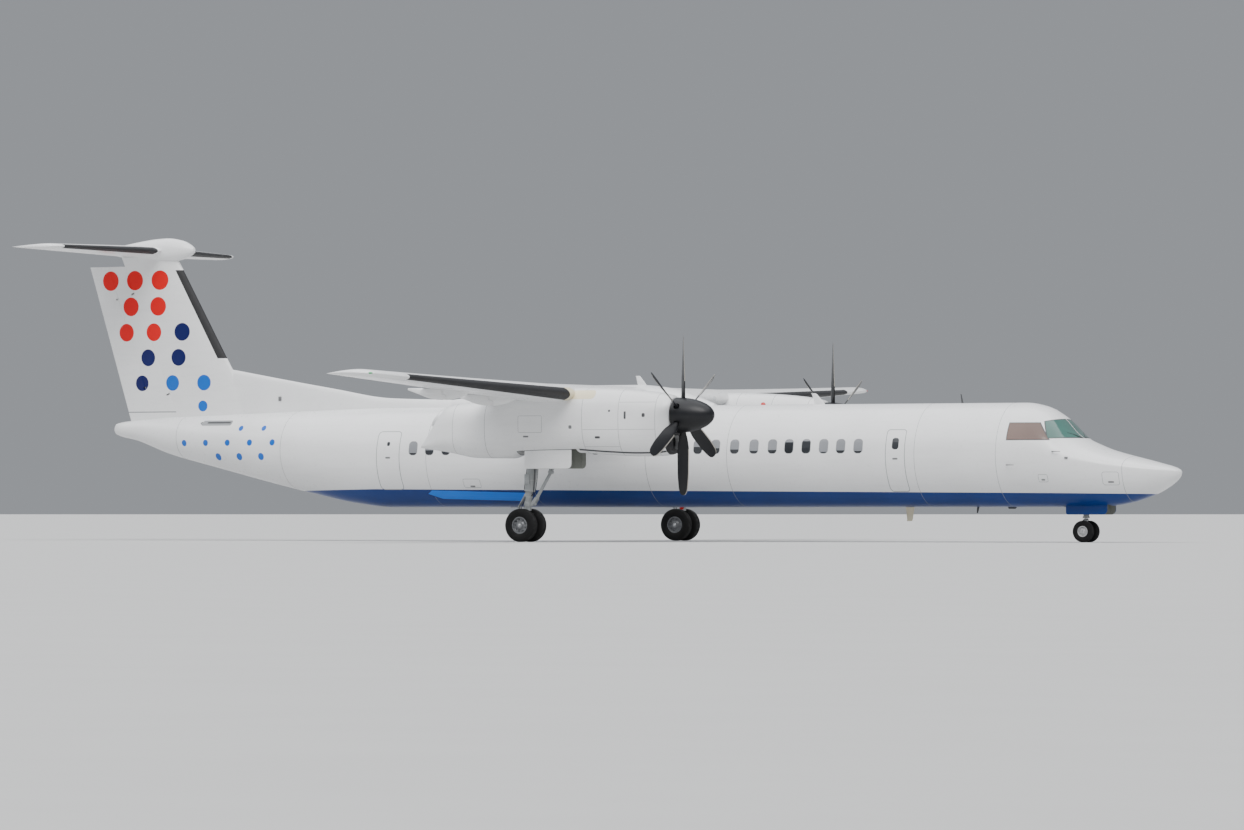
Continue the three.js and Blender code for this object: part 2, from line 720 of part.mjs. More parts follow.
const blade = loft(
  BLADE.map(([radius, chord, thick, pitch]) => {
    const lean = THREE.MathUtils.degToRad(pitch);
    return Array.from({ length: 8 }, (_, i) => {
      const angle = (i / 8) * 2 * Math.PI;
      const along = (Math.cos(angle) * chord) / 2;
      const across = (Math.sin(angle) * thick) / 2;
      return v3(
        along * Math.sin(lean) + across * Math.cos(lean),
        -along * Math.cos(lean) + across * Math.sin(lean),
        radius,
      );
    });
  }),
);
const hubAt = (x) => v3(x - HUB_X, 0, 0);
const hub = rod(hubAt(SPINNER.back), hubAt(SPINNER.hubFront), SPINNER.hub, SPINNER.sides);
const around = (solid) =>
  Array.from({ length: BLADES }, (_, i) =>
    inFrame(new THREE.Matrix4().makeRotationX((i / BLADES) * 2 * Math.PI), solid),
  );
const bladeRooms = around(rod(v3(0, 0, 250), v3(0, 0, 700), 84, 6));
const propeller = joined(hub, ...around(blade)).subtract(
  bore(hubAt(SPINNER.back - 10), hubAt(SHAFT.tip + 40), SHAFT.radius, SHAFT.sides),
);
const dome = (inset, steps) =>
  Array.from({ length: steps + 1 }, (_, i) => {
    const angle = (i / steps) * (Math.PI / 2);
    const length = SPINNER.front - SPINNER.back - 40 - inset;
    return [
      (SPINNER.radius - inset) * Math.cos(angle),
      SPINNER.back + 40 + length * Math.sin(angle) - HUB_X,
    ];
  });
const back = SPINNER.back - HUB_X;
const hubSeat = SPINNER.hub + FIT;
const spinnerProfile = [
  ...dome(SPINNER.wall, 2).reverse(),
  [SPINNER.radius - SPINNER.wall, back + 20],
  [hubSeat, back + 20],
  [hubSeat, back],
  [SPINNER.radius, back],
  ...dome(0, 4),
].map(([radius, x]) => new THREE.Vector2(radius < 1e-6 ? 0 : radius, x));
const spinner = solidOf(
  new THREE.LatheGeometry(spinnerProfile, SPINNER.sides).rotateZ(-Math.PI / 2),
);
for (const [side, sign] of [["left", 1], ["right", -1]]) {
  const place = v3(HUB_X, sign * HALF_TRACK, HUB_Z);
  piece("propeller_" + side, propeller, "black", place);
  piece("spinner_" + side, cut(spinner, ...bladeRooms), "black", place);
}

// Landing gear

const tyreProfile = ({ radius, width, rim }) => {
  const wall = radius - rim;
  const half = [
    [rim, 0.35],
    [rim + 0.55 * wall, 0.5],
    [rim + 0.88 * wall, 0.44],
    [radius, 0.3],
  ].map(([r, share]) => [r, share * width]);
  const other = half.map(([r, y]) => [r, -y]).reverse();
  return [...half, ...other, half[0]];
};
const rimProfile = ({ rim, width }, bore) => {
  const half = 0.37 * width;
  return [
    [bore, -half],
    [rim * 0.5, -half],
    [rim * 0.8, -half * 0.35],
    [rim - FIT, -half],
    [rim - FIT, half],
    [bore, half * 0.6],
    [bore, -half],
  ];
};
const WHEEL_SIDES = 20;
const MAIN_AXLE = 45;
const NOSE_AXLE = 30;

function wheelPair(name, tyre, axle, x, y) {
  for (const [label, sign] of [["outer", 1], ["inner", -1]]) {
    const across = Math.sign(y || 1) * sign * tyre.offset;
    const place = v3(x, y + across, tyre.radius);
    const rubber = solidOf(turned(tyreProfile(tyre), WHEEL_SIDES));
    const rim = solidOf(turned(rimProfile(tyre, axle + PIN_GAP), WHEEL_SIDES));
    const word = name === "nose" ? (sign > 0 ? "left" : "right") : label;
    piece(`${name}_tyre_${word}`, rubber, "tyre", place);
    piece(`${name}_rim_${word}`, rim, "rim", place);
  }
}
wheelPair("main_left", MAIN_TYRE, MAIN_AXLE, 0, HALF_TRACK);
wheelPair("main_right", MAIN_TYRE, MAIN_AXLE, 0, -HALF_TRACK);
wheelPair("nose", NOSE_TYRE, NOSE_AXLE, WHEELBASE, 0);

// Main leg: an oleo that leans aft as it goes down, with a drag strut ahead of it
const axleCentre = v3(0, HALF_TRACK, MAIN_TYRE.radius);
const legTop = v3(300, HALF_TRACK, GEAR_BAY.top - 160);
const legPoint = (t) => axleCentre.clone().lerp(legTop, t);
const OLEO = { outer: 92, piston: 58, from: 0.17, collar: 135, collarFrom: 0.38 };
const trunnion = rod(
  v3(legTop.x, HALF_TRACK - GEAR_BAY.half + FIT, legTop.z),
  v3(legTop.x, HALF_TRACK + GEAR_BAY.half - FIT, legTop.z),
  60,
);
const strutFoot = legPoint(0.24).add(v3(160, 0, 0));
const strutHead = v3(1250, HALF_TRACK, 2640);
const STRUT = { radius: 42, eye: 48, arm: 34 };
const strutEye = (grow) =>
  rod(
    strutFoot.clone().add(v3(0, -60 - grow, 0)),
    strutFoot.clone().add(v3(0, 60 + grow, 0)),
    STRUT.eye + grow,
  );
const strutLug = joined(strutEye(0), rod(legPoint(0.24), strutFoot, STRUT.arm));
const pistonRoom = rod(legPoint(0.1), legPoint(0.7), OLEO.piston + FIT);
const axleBeam = rod(
  axleCentre.clone().add(v3(0, -MAIN_TYRE.offset - 130, 0)),
  axleCentre.clone().add(v3(0, MAIN_TYRE.offset + 130, 0)),
  MAIN_AXLE,
  WHEEL_SIDES,
);
const LINK = { out: 260, half: 35, thick: 18 };
const linkUp = v3(-LINK.out, 0, 0).add(legPoint(0.2));
const axlePiece = joined(
  rod(axleCentre, legPoint(0.6), OLEO.piston),
  rod(axleCentre.clone().add(v3(0, -95, 0)), axleCentre.clone().add(v3(0, 95, 0)), 80),
  axleBeam,
  rod(axleCentre, linkUp, LINK.thick),
);
const upperLink = rod(linkUp.clone().add(v3(0, 0, 40)), legPoint(0.34), LINK.thick);
const leg = joined(
  rod(legPoint(OLEO.from), legTop, OLEO.outer),
  rod(legPoint(OLEO.collarFrom), legTop, OLEO.collar, 12),
  trunnion,
  strutLug,
  upperLink,
);
pair("main_leg", cut(leg, pistonRoom), "gear");
pair("main_axle", axlePiece, "steel");

const strut = joined(
  rod(strutFoot, strutHead, STRUT.radius).subtract(strutEye(FIT)),
  rod(
    v3(strutHead.x, HALF_TRACK - GEAR_BAY.half + FIT, strutHead.z),
    v3(strutHead.x, HALF_TRACK + GEAR_BAY.half - FIT, strutHead.z),
    45,
  ),
);
pair("main_drag_strut", strut, "gear");

// Doors that hang beside the main legs
const GEAR_DOOR = { outerFront: 1520, innerFront: 1600, back: 150, low: 1900, high: 2420, thick: 24 };
const hangingDoor = (sign, front) => {
  const wall = HALF_TRACK + sign * (GEAR_BAY.half - FIT);
  return box(
    v3(GEAR_DOOR.back, Math.min(wall, wall - sign * GEAR_DOOR.thick), GEAR_DOOR.low),
    v3(front, Math.max(wall, wall - sign * GEAR_DOOR.thick), GEAR_DOOR.high),
  );
};
pair("gear_door_outer", hangingDoor(1, GEAR_DOOR.outerFront), "white");
pair("gear_door_inner", hangingDoor(-1, GEAR_DOOR.innerFront), "white");

// Nose leg, which steers about its own middle line
const noseAxle = v3(WHEELBASE, 0, NOSE_TYRE.radius);
const NOSE_LEG = { low: 620, radius: 75, piston: 48 };
const noseLow = v3(WHEELBASE, 0, NOSE_LEG.low);
const noseTop = v3(WHEELBASE, 0, NOSE_BAY.top - FIT);
const noseRoom = bore(v3(WHEELBASE, 0, 500), v3(WHEELBASE, 0, 1100), NOSE_LEG.piston);
const NOSE_STRUT = { foot: 980, head: BELLY_Z + 480 };
piece("nose_leg", cut(rod(noseLow, noseTop, NOSE_LEG.radius), noseRoom), "gear");
piece(
  "nose_axle",
  joined(
    rod(noseAxle, v3(WHEELBASE, 0, 1060), NOSE_LEG.piston),
    rod(noseAxle.clone().setY(-80), noseAxle.clone().setY(80), 55),
    rod(noseAxle.clone().setY(-265), noseAxle.clone().setY(265), NOSE_AXLE, WHEEL_SIDES),
  ),
  "steel",
);
const noseStrutHead = v3(NOSE_BAY.back + FIT, 0, NOSE_STRUT.head);
piece(
  "nose_drag_strut",
  cut(
    rod(v3(WHEELBASE - 20, 0, NOSE_STRUT.foot), v3(NOSE_BAY.back - 60, 0, NOSE_STRUT.head + 30), 32),
    rod(v3(WHEELBASE, 0, 500), v3(WHEELBASE, 0, 1600), NOSE_LEG.radius + FIT),
    box(v3(0, -FAR, 0), v3(noseStrutHead.x, FAR, FAR)),
  ),
  "gear",
);
const NOSE_DOOR = { low: BELLY_Z - 190, high: BELLY_Z + 180, thick: 20, front: 14650, back: 13500 };
pair(
  "nose_door",
  box(
    v3(NOSE_DOOR.back, NOSE_BAY.half - FIT - NOSE_DOOR.thick, NOSE_DOOR.low),
    v3(NOSE_DOOR.front, NOSE_BAY.half - FIT, NOSE_DOOR.high),
  ),
  "blue",
);

export default group;
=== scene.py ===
"""Looks of a turboprop airliner that stands on its wheels.

Shapes are made in millimetres in the aircraft's own frame: X forward from the main wheels' axle,
Y to the left, Z up from the ground. piece() turns them into metres in the row frame. Heights in
the tables are counted from the belly. Left-hand shapes are mirrored for the right.
"""

import json
import math
from types import SimpleNamespace as Values

import bmesh
import bpy
import numpy as np
from mathutils import Matrix, Vector


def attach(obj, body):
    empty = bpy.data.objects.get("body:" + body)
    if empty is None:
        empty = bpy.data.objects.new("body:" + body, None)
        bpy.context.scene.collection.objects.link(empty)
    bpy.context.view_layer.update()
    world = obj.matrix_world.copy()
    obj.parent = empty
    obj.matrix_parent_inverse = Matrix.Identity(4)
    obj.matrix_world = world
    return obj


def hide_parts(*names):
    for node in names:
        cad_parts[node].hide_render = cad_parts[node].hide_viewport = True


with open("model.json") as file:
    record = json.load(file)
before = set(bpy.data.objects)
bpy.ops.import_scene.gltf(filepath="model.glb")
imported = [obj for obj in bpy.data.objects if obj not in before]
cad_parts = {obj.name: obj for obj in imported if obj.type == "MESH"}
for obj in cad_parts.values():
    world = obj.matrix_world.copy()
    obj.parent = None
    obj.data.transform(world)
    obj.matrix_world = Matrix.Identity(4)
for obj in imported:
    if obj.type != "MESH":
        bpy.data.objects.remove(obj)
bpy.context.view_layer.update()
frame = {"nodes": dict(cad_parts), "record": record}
SLOTS = {entry["slot"] for entry in frame["record"]["materials"]}

# Driving dimensions
NOSE_X, TAIL_X = 16580, -16250
HALF_SPAN = 14210
FUSELAGE_R = 1345
BELLY_Z = 900
WHEELBASE = 13940
HALF_TRACK = 4395
HUB_X, HUB_Z = 4600, BELLY_Z + 2366
WING_Z = 3810
TAILPLANE_Z = BELLY_Z + 7050
ROW_SHIFT = -(NOSE_X + TAIL_X) / 2
# RUN is the gap round what moves, SEATED the gap between seated parts, FAR a reach past every form
RUN, SEATED, FAR = 8, 0.3, 6000
LEFT, RIGHT, BOTH, LEFT_SIDE = (0, FAR), (-FAR, 0), (-FAR, FAR), (0, FAR * 2)
SIDES = (("left", 1), ("right", -1))

# Columns of the tables of ovals: station, bottom, height of the widest point, top, half width
FUSELAGE = [
    (-15270, 2070, 2150, 2230, 60),
    (-15250, 2040, 2150, 2265, 100),
    (-15210, 2010, 2150, 2310, 150),
    (-14520, 1840, 2120, 2400, 330),
    (-13435, 1460, 1975, 2480, 590),
    (-12020, 1110, 1830, 2530, 840),
    (-9075, 420, 1520, 2620, 1220),
    (-7465, 100, 1390, 2670, 1325),
    (-6435, 0, FUSELAGE_R, 2690, FUSELAGE_R),
    (12300, 0, FUSELAGE_R, 2690, FUSELAGE_R),
    (12830, 0, 1330, 2600, 1332),
    (13290, 0, 1290, 2340, 1300),
    (13850, 0, 1210, 1790, 1235),
    (14130, 0, 1170, 1660, 1190),
    (14500, 10, 1120, 1510, 1120),
    (14900, 55, 1060, 1395, 1010),
    (15310, 135, 1010, 1295, 880),
    (15710, 260, 970, 1200, 730),
    (16050, 410, 945, 1115, 565),
    (16340, 585, 925, 1040, 380),
    (16480, 700, 912, 985, 240),
    (16550, 790, 903, 945, 125),
    (NOSE_X, 868, 900, 915, 30),
]
WING_FAIRING = [
    (-4610, 2300, 2450, 2890, 160),
    (-3200, 2100, 2350, 3060, 640),
    (-2000, 2050, 2300, 3190, 930),
    (-800, 2050, 2300, 3245, 1040),
    (1000, 2050, 2300, 3245, 1040),
    (2000, 2050, 2300, 3150, 930),
    (2750, 2100, 2350, 2930, 640),
    (3300, 2300, 2450, 2720, 260),
]
DORSAL = [
    (-12020, 2300, 2450, 3860, 130),
    (-11405, 2300, 2450, 3750, 120),
    (-8310, 2300, 2450, 3220, 120),
    (-6550, 2300, 2450, 2950, 135),
    (-4610, 2300, 2450, 2890, 160),
]
COWL_FRONT, COWL_JOINT = 4400, 1750
COWL = [
    (COWL_JOINT, 1405, 2300, 3100, 625),
    (2600, 1345, 2290, 3070, 610),
    (3460, 1310, 2280, 3010, 585),
    (4100, 1325, 2270, 2930, 550),
    (4310, 1360, 2260, 2880, 505),
    (4375, 1385, 2255, 2850, 472),
    (COWL_FRONT, 1410, 2250, 2820, 445),
]
NACELLE = [
    (-3030, 1545, 1590, 1640, 180),
    (-2170, 1420, 1900, 2660, 470),
    (-1350, 1280, 2050, 2760, 585),
    (-350, 1270, 2150, 2950, 620),
    (0, 1370, 2200, 3040, 625),
    COWL[0],
]
# Heights from the tailplane's plane
BULLET = [
    (-15570, -40, 0, 40, 40),
    (-14940, -170, 0, 190, 140),
    (-13580, -310, 0, 350, 265),
    (-13110, -240, 0, 280, 220),
    (-12830, -130, 0, 150, 130),
    (-12750, -70, 0, 85, 75),
    (-12730, -25, 0, 30, 27),
]
# Heights and stations from a flap's hinge line
CANOE = [
    (-1050, 190, 215, 240, 8),
    (-760, 90, 200, 240, 32),
    (-350, -40, 120, 230, 50),
    (0, -72, 60, 250, 54),
    (400, -20, 80, 240, 46),
    (860, 170, 200, 220, 8),
]
# Wing and tailplane sections. Columns: span, leading edge, trailing edge, height, thickness
WING = [
    (0, 1700, -1000, WING_Z, 0.18),
    (5050, 1700, -1000, WING_Z, 0.18),
    (14000, 1000, -350, WING_Z + 390, 0.13),
    (14090, 955, -335, WING_Z + 394, 0.115),
    (14150, 900, -310, WING_Z + 396, 0.095),
    (14190, 815, -276, WING_Z + 398, 0.065),
    (HALF_SPAN, 720, -240, WING_Z + 399, 0.03),
]
WING_JOINT, WING_CAMBER = 5050, 0.02
TAILPLANE = [
    (0, -13600, TAIL_X, TAILPLANE_Z, 0.115),
    (4480, -14175, -15740, TAILPLANE_Z, 0.1),
    (4560, -14222, -15723, TAILPLANE_Z, 0.085),
    (4600, -14275, -15710, TAILPLANE_Z, 0.06),
    (4635, -14410, -15670, TAILPLANE_Z, 0.03),
]
# Fin sections. Columns: height, leading edge, trailing edge, thickness
FIN = [(BELLY_Z + 2300, -10665, -14740, 0.085), (BELLY_Z + 6895, -13305, -16175, 0.105)]
# Upper edge of the blue belly: station and height
BELLY_LINE = [(-9700, 440), (-6435, 490), (-300, 470), (3700, 455), (6200, 410), (13700, 360), (NOSE_X, 330)]

# Fineness of the meshes
NOSE_TIP = Values(start=15700, step=35)
FOIL_STEPS, BOOT_STEPS, ROUND = 24, 4, 28


# Solids


class Solid:
    """A closed mesh in millimetres that can be joined, cut and intersected."""

    def __init__(self, mesh):
        self.mesh = mesh

    def __add__(self, other):
        return combined("UNION", self, other)

    def __sub__(self, other):
        return combined("DIFFERENCE", self, other)

    def __and__(self, other):
        return combined("INTERSECT", self, other)

    def moved(self, matrix):
        mesh = self.mesh.copy()
        mesh.transform(matrix)
        if matrix.determinant() < 0:
            mesh.flip_normals()
        return Solid(mesh)

    def shifted(self, x=0, y=0, z=0):
        return self.moved(Matrix.Translation((x, y, z)))

    def sided(self, sign):
        return self if sign > 0 else self.moved(Matrix.Scale(-1, 4, (0, 1, 0)))


def through_modifiers(mesh, add):
    """The mesh after the modifiers that add() gives an object of it. add() returns what they use."""
    base = bpy.data.objects.new("base", mesh)
    bpy.context.scene.collection.objects.link(base)
    tools = add(base) or []
    made = bpy.data.meshes.new_from_object(base.evaluated_get(bpy.context.evaluated_depsgraph_get()))
    for obj in (base, *tools):
        bpy.data.objects.remove(obj)
    return Solid(made)


def combined(operation, first, *others):
    def add(base):
        tools = []
        for other in others:
            tool = bpy.data.objects.new("tool", other.mesh)
            bpy.context.scene.collection.objects.link(tool)
            modifier = base.modifiers.new("combine", "BOOLEAN")
            modifier.operation, modifier.solver, modifier.object = operation, "MANIFOLD", tool
            tools.append(tool)
        return tools

    return through_modifiers(first.mesh, add)


def united(*shapes):
    return combined("UNION", *shapes)


def softened(shape, width, segments=2):
    """The solid with its sharp edges bevelled."""

    def add(base):
        modifier = base.modifiers.new("bevel", "BEVEL")
        modifier.width, modifier.segments = width, segments
        modifier.limit_method, modifier.angle_limit = "ANGLE", math.radians(40)

    return through_modifiers(shape.mesh, add)


def edited(mesh, edit):
    bm = bmesh.new()
    bm.from_mesh(mesh)
    edit(bm)
    bm.to_mesh(mesh)
    bm.free()
    return Solid(mesh)


def gathered(shapes):
    """Several solids that don't touch, as one mesh."""
    return edited(bpy.data.meshes.new("gathered"), lambda bm: [bm.from_mesh(shape.mesh) for shape in shapes])


def with_edges_at(shape, axis, places):
    """The solid with loops of edges across it at the places along an axis."""
    normal = np.eye(3)[axis]

    def edit(bm):
        for place in places:
            whole = bm.verts[:] + bm.edges[:] + bm.faces[:]
            bmesh.ops.bisect_plane(bm, geom=whole, plane_co=normal * place, plane_no=normal, dist=1e-3)

    return edited(shape.mesh, edit)


def solid(verts, faces):
    mesh = bpy.data.meshes.new("solid")
    mesh.from_pydata(np.asarray(verts, float).reshape(-1, 3).tolist(), [], faces)

    def turn_outwards(bm):
        if bm.calc_volume(signed=True) < 0:
            bmesh.ops.reverse_faces(bm, faces=bm.faces[:])

    return edited(mesh, turn_outwards)


def loft(rings, ring_closed=False, halved=False):
    """The space between rings of equal length. halved cuts each face between two rings along the
    same diagonal, so that two such bodies, one over the other, keep their distance."""
    rings = np.asarray(rings, float)
    count, n = rings.shape[:2]
    faces = []
    for r in range(count if ring_closed else count - 1):
        a, b = r * n, (r + 1) % count * n
        for i in range(n):
            j = (i + 1) % n
            p, q, s, t = a + i, a + j, b + j, b + i
            faces += [(p, q, s), (p, s, t)] if halved else [(p, q, s, t)]
    if not ring_closed:
        faces += [tuple(reversed(range(n))), tuple(range((count - 1) * n, count * n))]
    return solid(rings, faces)


def box(low, high):
    (x0, y0, z0), (x1, y1, z1) = low, high
    return loft([[(x, y0, z0), (x, y1, z0), (x, y1, z1), (x, y0, z1)] for x in (x0, x1)])


def pipe(points, radii, sides=12):
    """A round bar along points, with one radius or a radius at each."""
    points = [Vector(p) for p in points]
    radii = [radii] * len(points) if np.isscalar(radii) else radii
    along = (points[1] - points[0]).normalized()
    side = along.cross(Vector((0, 0, 1)) if abs(along.z) < 0.9 else Vector((0, 1, 0))).normalized()
    rings = []
    for k, (point, radius) in enumerate(zip(points, radii)):
        along = (points[min(k + 1, len(points) - 1)] - points[max(k - 1, 0)]).normalized()
        side = (side - along * side.dot(along)).normalized()
        up = along.cross(side)
        turns = [2 * math.pi * (i + 0.5) / sides for i in range(sides)]
        rings.append([point + radius * (math.cos(t) * side + math.sin(t) * up) for t in turns])
    return loft(rings)


def rod(start, end, radius, end_radius=None, sides=ROUND):
    return pipe([start, end], [radius, radius if end_radius is None else end_radius], sides)


def stepped(start, end, profile, sides=ROUND):
    """A round bar between two points, from pairs of a share of its length and a radius."""
    start, end = Vector(start), Vector(end)
    return pipe([start.lerp(end, share) for share, _ in profile], [radius for _, radius in profile], sides)


def across(middle, half, radius, sides=ROUND):
    """A round bar along Y about a point."""
    reach = Vector((0, half, 0))
    return rod(middle - reach, middle + reach, radius, sides=sides)


def turned(profile, sides=96, closed=False, centre=(0, 0, 0), axis="y", least=0.5):
    """A body of revolution from pairs of radius and place on the axis."""
    turns = np.arange(sides) / sides * 2 * math.pi
    rings = []
    for radius, place in profile:
        side, up = max(radius, least) * np.cos(turns), max(radius, least) * np.sin(turns)
        still = np.full(sides, float(place))
        ring = (side, still, up) if axis == "y" else (still, side, up)
        rings.append(np.stack(ring, axis=1) + np.asarray(centre, float))
    return loft(rings, ring_closed=closed)


def dome(centre, radii, sides=24):
    """An egg shape about a centre, with a radius along each axis."""
    arcs = [math.pi * i / (sides // 2) for i in range(sides // 2 + 1)]
    egg = turned([(max(math.sin(a), 0.001), -math.cos(a)) for a in arcs], sides=sides, axis="x", least=0.01)
    return egg.moved(Matrix.Translation(centre) @ Matrix.Diagonal((*radii, 1)))


# Outlines are rows of stations and heights above the ground.


def prism(outline, low=-FAR, high=FAR):
    """An outline drawn out along Y."""
    return loft([[(x, y, z) for x, z in outline] for y in (low, high)])


def plan(outline, low=0, high=FAR * 2):
    """An outline of stations and spans, drawn out upwards."""
    return loft([[(x, y, z) for x, y in outline] for z in (low, high)])


def arc(centre, radius, start, turn, steps):
    angles = [start + i / steps * turn for i in range(steps + 1)]
    return [(centre[0] + radius * math.cos(a), centre[1] + radius * math.sin(a)) for a in angles]


def disc(x, z, radius, sides=40):
    return arc((x, z), radius, 0, 2 * math.pi, sides)[:-1]


def rounded(x, z, width, height, radius):
    """A rectangle with round corners about a middle."""
    points = []
    for k, (sx, sz) in enumerate(((1, 1), (-1, 1), (-1, -1), (1, -1))):
        corner = (x + sx * (width / 2 - radius), z + sz * (height / 2 - radius))
        points += arc(corner, radius, k * math.pi / 2, math.pi / 2, 5)
    return points


def rounded_below(back, front, low, high, back_radius, front_radius):
    """A rectangle whose lower corners are round."""
    left = arc((back + back_radius, low + back_radius), back_radius, math.pi, math.pi / 2, 8)
    right = arc((front - front_radius, low + front_radius), front_radius, -math.pi / 2, math.pi / 2, 8)
    return [(back, high), *left, *right, (front, high)]


def link(a, b, ra, rb):
    """A bar with round ends between two points."""
    turn = math.atan2(b[1] - a[1], b[0] - a[0])
    return arc(a, ra, turn + math.pi / 2, math.pi, 10) + arc(b, rb, turn - math.pi / 2, math.pi, 10)


def widened(points, grow):
    """A closed row of points, clockwise, moved outwards by the same distance on every edge."""
    if not grow:
        return points
    along = np.roll(points, -1, axis=0) - points
    along /= np.linalg.norm(along, axis=1)[:, None]
    after = np.stack((-along[:, 1], along[:, 0]), axis=1)
    before = np.roll(after, 1, axis=0)
    share = 1 + (before * after).sum(axis=1)
    return points + (before + after) * (grow / share)[:, None]


def inset(outline, width):
    """An outline drawn in by a width on every edge, or out where the width is negative."""
    points = np.asarray(outline, float)
    x, z = points.T
    return widened(points, width * np.sign((x * np.roll(z, -1) - np.roll(x, -1) * z).sum()))


def band(outline, width, low=-FAR, high=FAR):
    """What lies between an outline and the same outline drawn in by a width, drawn out along Y."""
    return prism(outline, low, high) - prism(inset(outline, width), low - 10, high + 10)


# Sections


def smooth_rows(table, places):
    """Rows at the places, on curves through the table's rows that never overshoot them."""
    table = np.asarray(table, float)
    x = table[:, 0]
    step = np.diff(x)
    slope = np.diff(table, axis=0) / step[:, None]
    tangent = np.zeros_like(table)
    tangent[0], tangent[-1] = slope[0], slope[-1]
    before, after = slope[:-1], slope[1:]
    same = before * after > 0
    w1, w2 = (2 * step[1:] + step[:-1])[:, None], (step[1:] + 2 * step[:-1])[:, None]
    safe = lambda value: np.where(same, value, 1.0)
    tangent[1:-1] = np.where(same, (w1 + w2) / (w1 / safe(before) + w2 / safe(after)), 0.0)
    rows = []
    for place in places:
        k = int(np.clip(np.searchsorted(x, place) - 1, 0, len(x) - 2))
        h = step[k]
        t = (place - x[k]) / h
        row = ((2 * t**3 - 3 * t**2 + 1) * table[k] + (t**3 - 2 * t**2 + t) * h * tangent[k]
               + (3 * t**2 - 2 * t**3) * table[k + 1] + (t**3 - t**2) * h * tangent[k + 1])
        row[0] = place
        rows.append(row)
    return rows


def row_at(table, place):
    table = np.asarray(table, float)
    return np.array([np.interp(place, table[:, 0], column) for column in table.T])


def stations(table, start, stop, step=150):
    """Places between two stations, close together where the sections change and at the nose's tip."""
    edges = [start, *(row[0] for row in table if start < row[0] < stop), stop]
    places = []
    for a, b in zip(edges, edges[1:]):
        same = np.allclose(row_at(table, a)[1:], row_at(table, b)[1:])
        count = 1 if same else max(1, round((b - a) / (step if a < NOSE_TIP.start else NOSE_TIP.step)))
        places += list(np.linspace(a, b, count + 1))[:-1]
    return [*places, stop]


def oval(row, y=0, z=BELLY_Z, grow=0, sides=96, power=2, split=None):
    """A closed oval across X. split is a height that some points of it are to lie on."""
    x, bottom, middle, top, half = row
    low = sides // 8
    edge = -math.pi / 4
    if split is not None:
        edge = -math.asin(min(max((middle - split) / (middle - bottom), 0.1), 0.998))
    rising = [*np.linspace(-math.pi / 2, edge, low + 1)]
    rising += [*np.linspace(edge, math.pi / 2, sides // 2 - low + 1)[1:]]
    angles = np.array(rising + [math.pi - a for a in reversed(rising[1:-1])])
    bend = lambda value: np.sign(value) * np.abs(value) ** (2 / power)
    up, side = bend(np.sin(angles)), bend(np.cos(angles))
    side[[0, sides // 2]] = 0
    rise = np.where(up > 0, top - middle + grow, middle - bottom + grow)
    return np.stack((np.full(len(angles), x), y + (half + grow) * side, z + middle + rise * up), axis=1)


def body(table, start=None, stop=None, step=150, **options):
    """A table's body between two stations, or its whole length. The options are those of oval()."""
    start, stop = table[0][0] if start is None else start, table[-1][0] if stop is None else stop
    rows = smooth_rows(table, stations(table, start, stop, step))
    return loft([oval(row, **options) for row in rows], halved=True)


def foil_shape(share, thickness, camber):
    """Height of an aerofoil's middle line and its half thickness, at a share of the chord."""
    share = np.asarray(share, float)
    half = 0.2969 * np.sqrt(share) - 0.126 * share - 0.3516 * share**2
    half += 0.2843 * share**3 - 0.1015 * share**4
    return camber * 4 * share * (1 - share), 5 * thickness * half


def foil(leading, trailing, thickness, camber, grow):
    """Points round an aerofoil, trailing edge first over the top, as rows of x and height."""
    chord = leading - trailing
    share = (1 - np.cos(np.arange(FOIL_STEPS + 1) / FOIL_STEPS * math.pi)) / 2
    middle, half = foil_shape(share, thickness, camber)
    upper = np.stack((leading - share * chord, (middle + half) * chord), axis=1)[::-1]
    lower = np.stack((leading - share * chord, (middle - half) * chord), axis=1)[1:]
    return widened(np.concatenate((upper, lower)), grow)


def wing_ring(row, camber=WING_CAMBER, grow=0):
    y, leading, trailing, z, thickness = row
    x, up = foil(leading, trailing, thickness, camber, grow).T
    return np.stack((x, np.full(len(x), y), z + up), axis=1)


def fin_ring(row, grow=0):
    z, leading, trailing, thickness = row
    x, side = foil(leading, trailing, thickness, 0, grow).T
    return np.stack((x, side, np.full(len(x), z)), axis=1)


def chord_point(table, place, share, camber=0, drop=0):
    """A point of a wing or tailplane at a share of the chord, lowered by drop, and its half thickness."""
    _, leading, trailing, z, thickness = row_at(table, place)
    chord = leading - trailing
    middle, half = foil_shape(share, thickness, camber)
    return (leading - share * chord, place, z + float(middle) * chord - drop), float(half) * chord


def wing_point(y, share, drop=0):
    return chord_point(WING, y, share, WING_CAMBER, drop)


BOOT_SHARE = (1 - math.cos(BOOT_STEPS / FOIL_STEPS * math.pi)) / 2


def boot_faces(table, axis, span):
    """Chooses the boot for faces near the leading edge, between two places along an axis."""

    def choose(middles, normals):
        place = np.abs(middles[:, axis])
        leading, trailing = (np.interp(place, *np.asarray(table, float).T[[0, k]]) for k in (1, 2))
        near = (leading - middles[:, 0]) / (leading - trailing) < BOOT_SHARE + 1e-3
        return np.where(near & (place > span[0]) & (place < span[1]), 1, 0)

    return choose


# Hinges: a hinge frame's Y runs along the hinge line, X forward, and Z to the side that is left.


def hinge_frame(start, end):
    """The frame of a hinge line and the line's length."""
    start, end = Vector(start), Vector(end)
    along = (end - start).normalized()
    forward = Vector((1, 0, 0)) - along * along.x
    forward.normalize()
    matrix = Matrix((forward, along, forward.cross(along))).transposed().to_4x4()
    return Matrix.Translation(start) @ matrix, (end - start).length


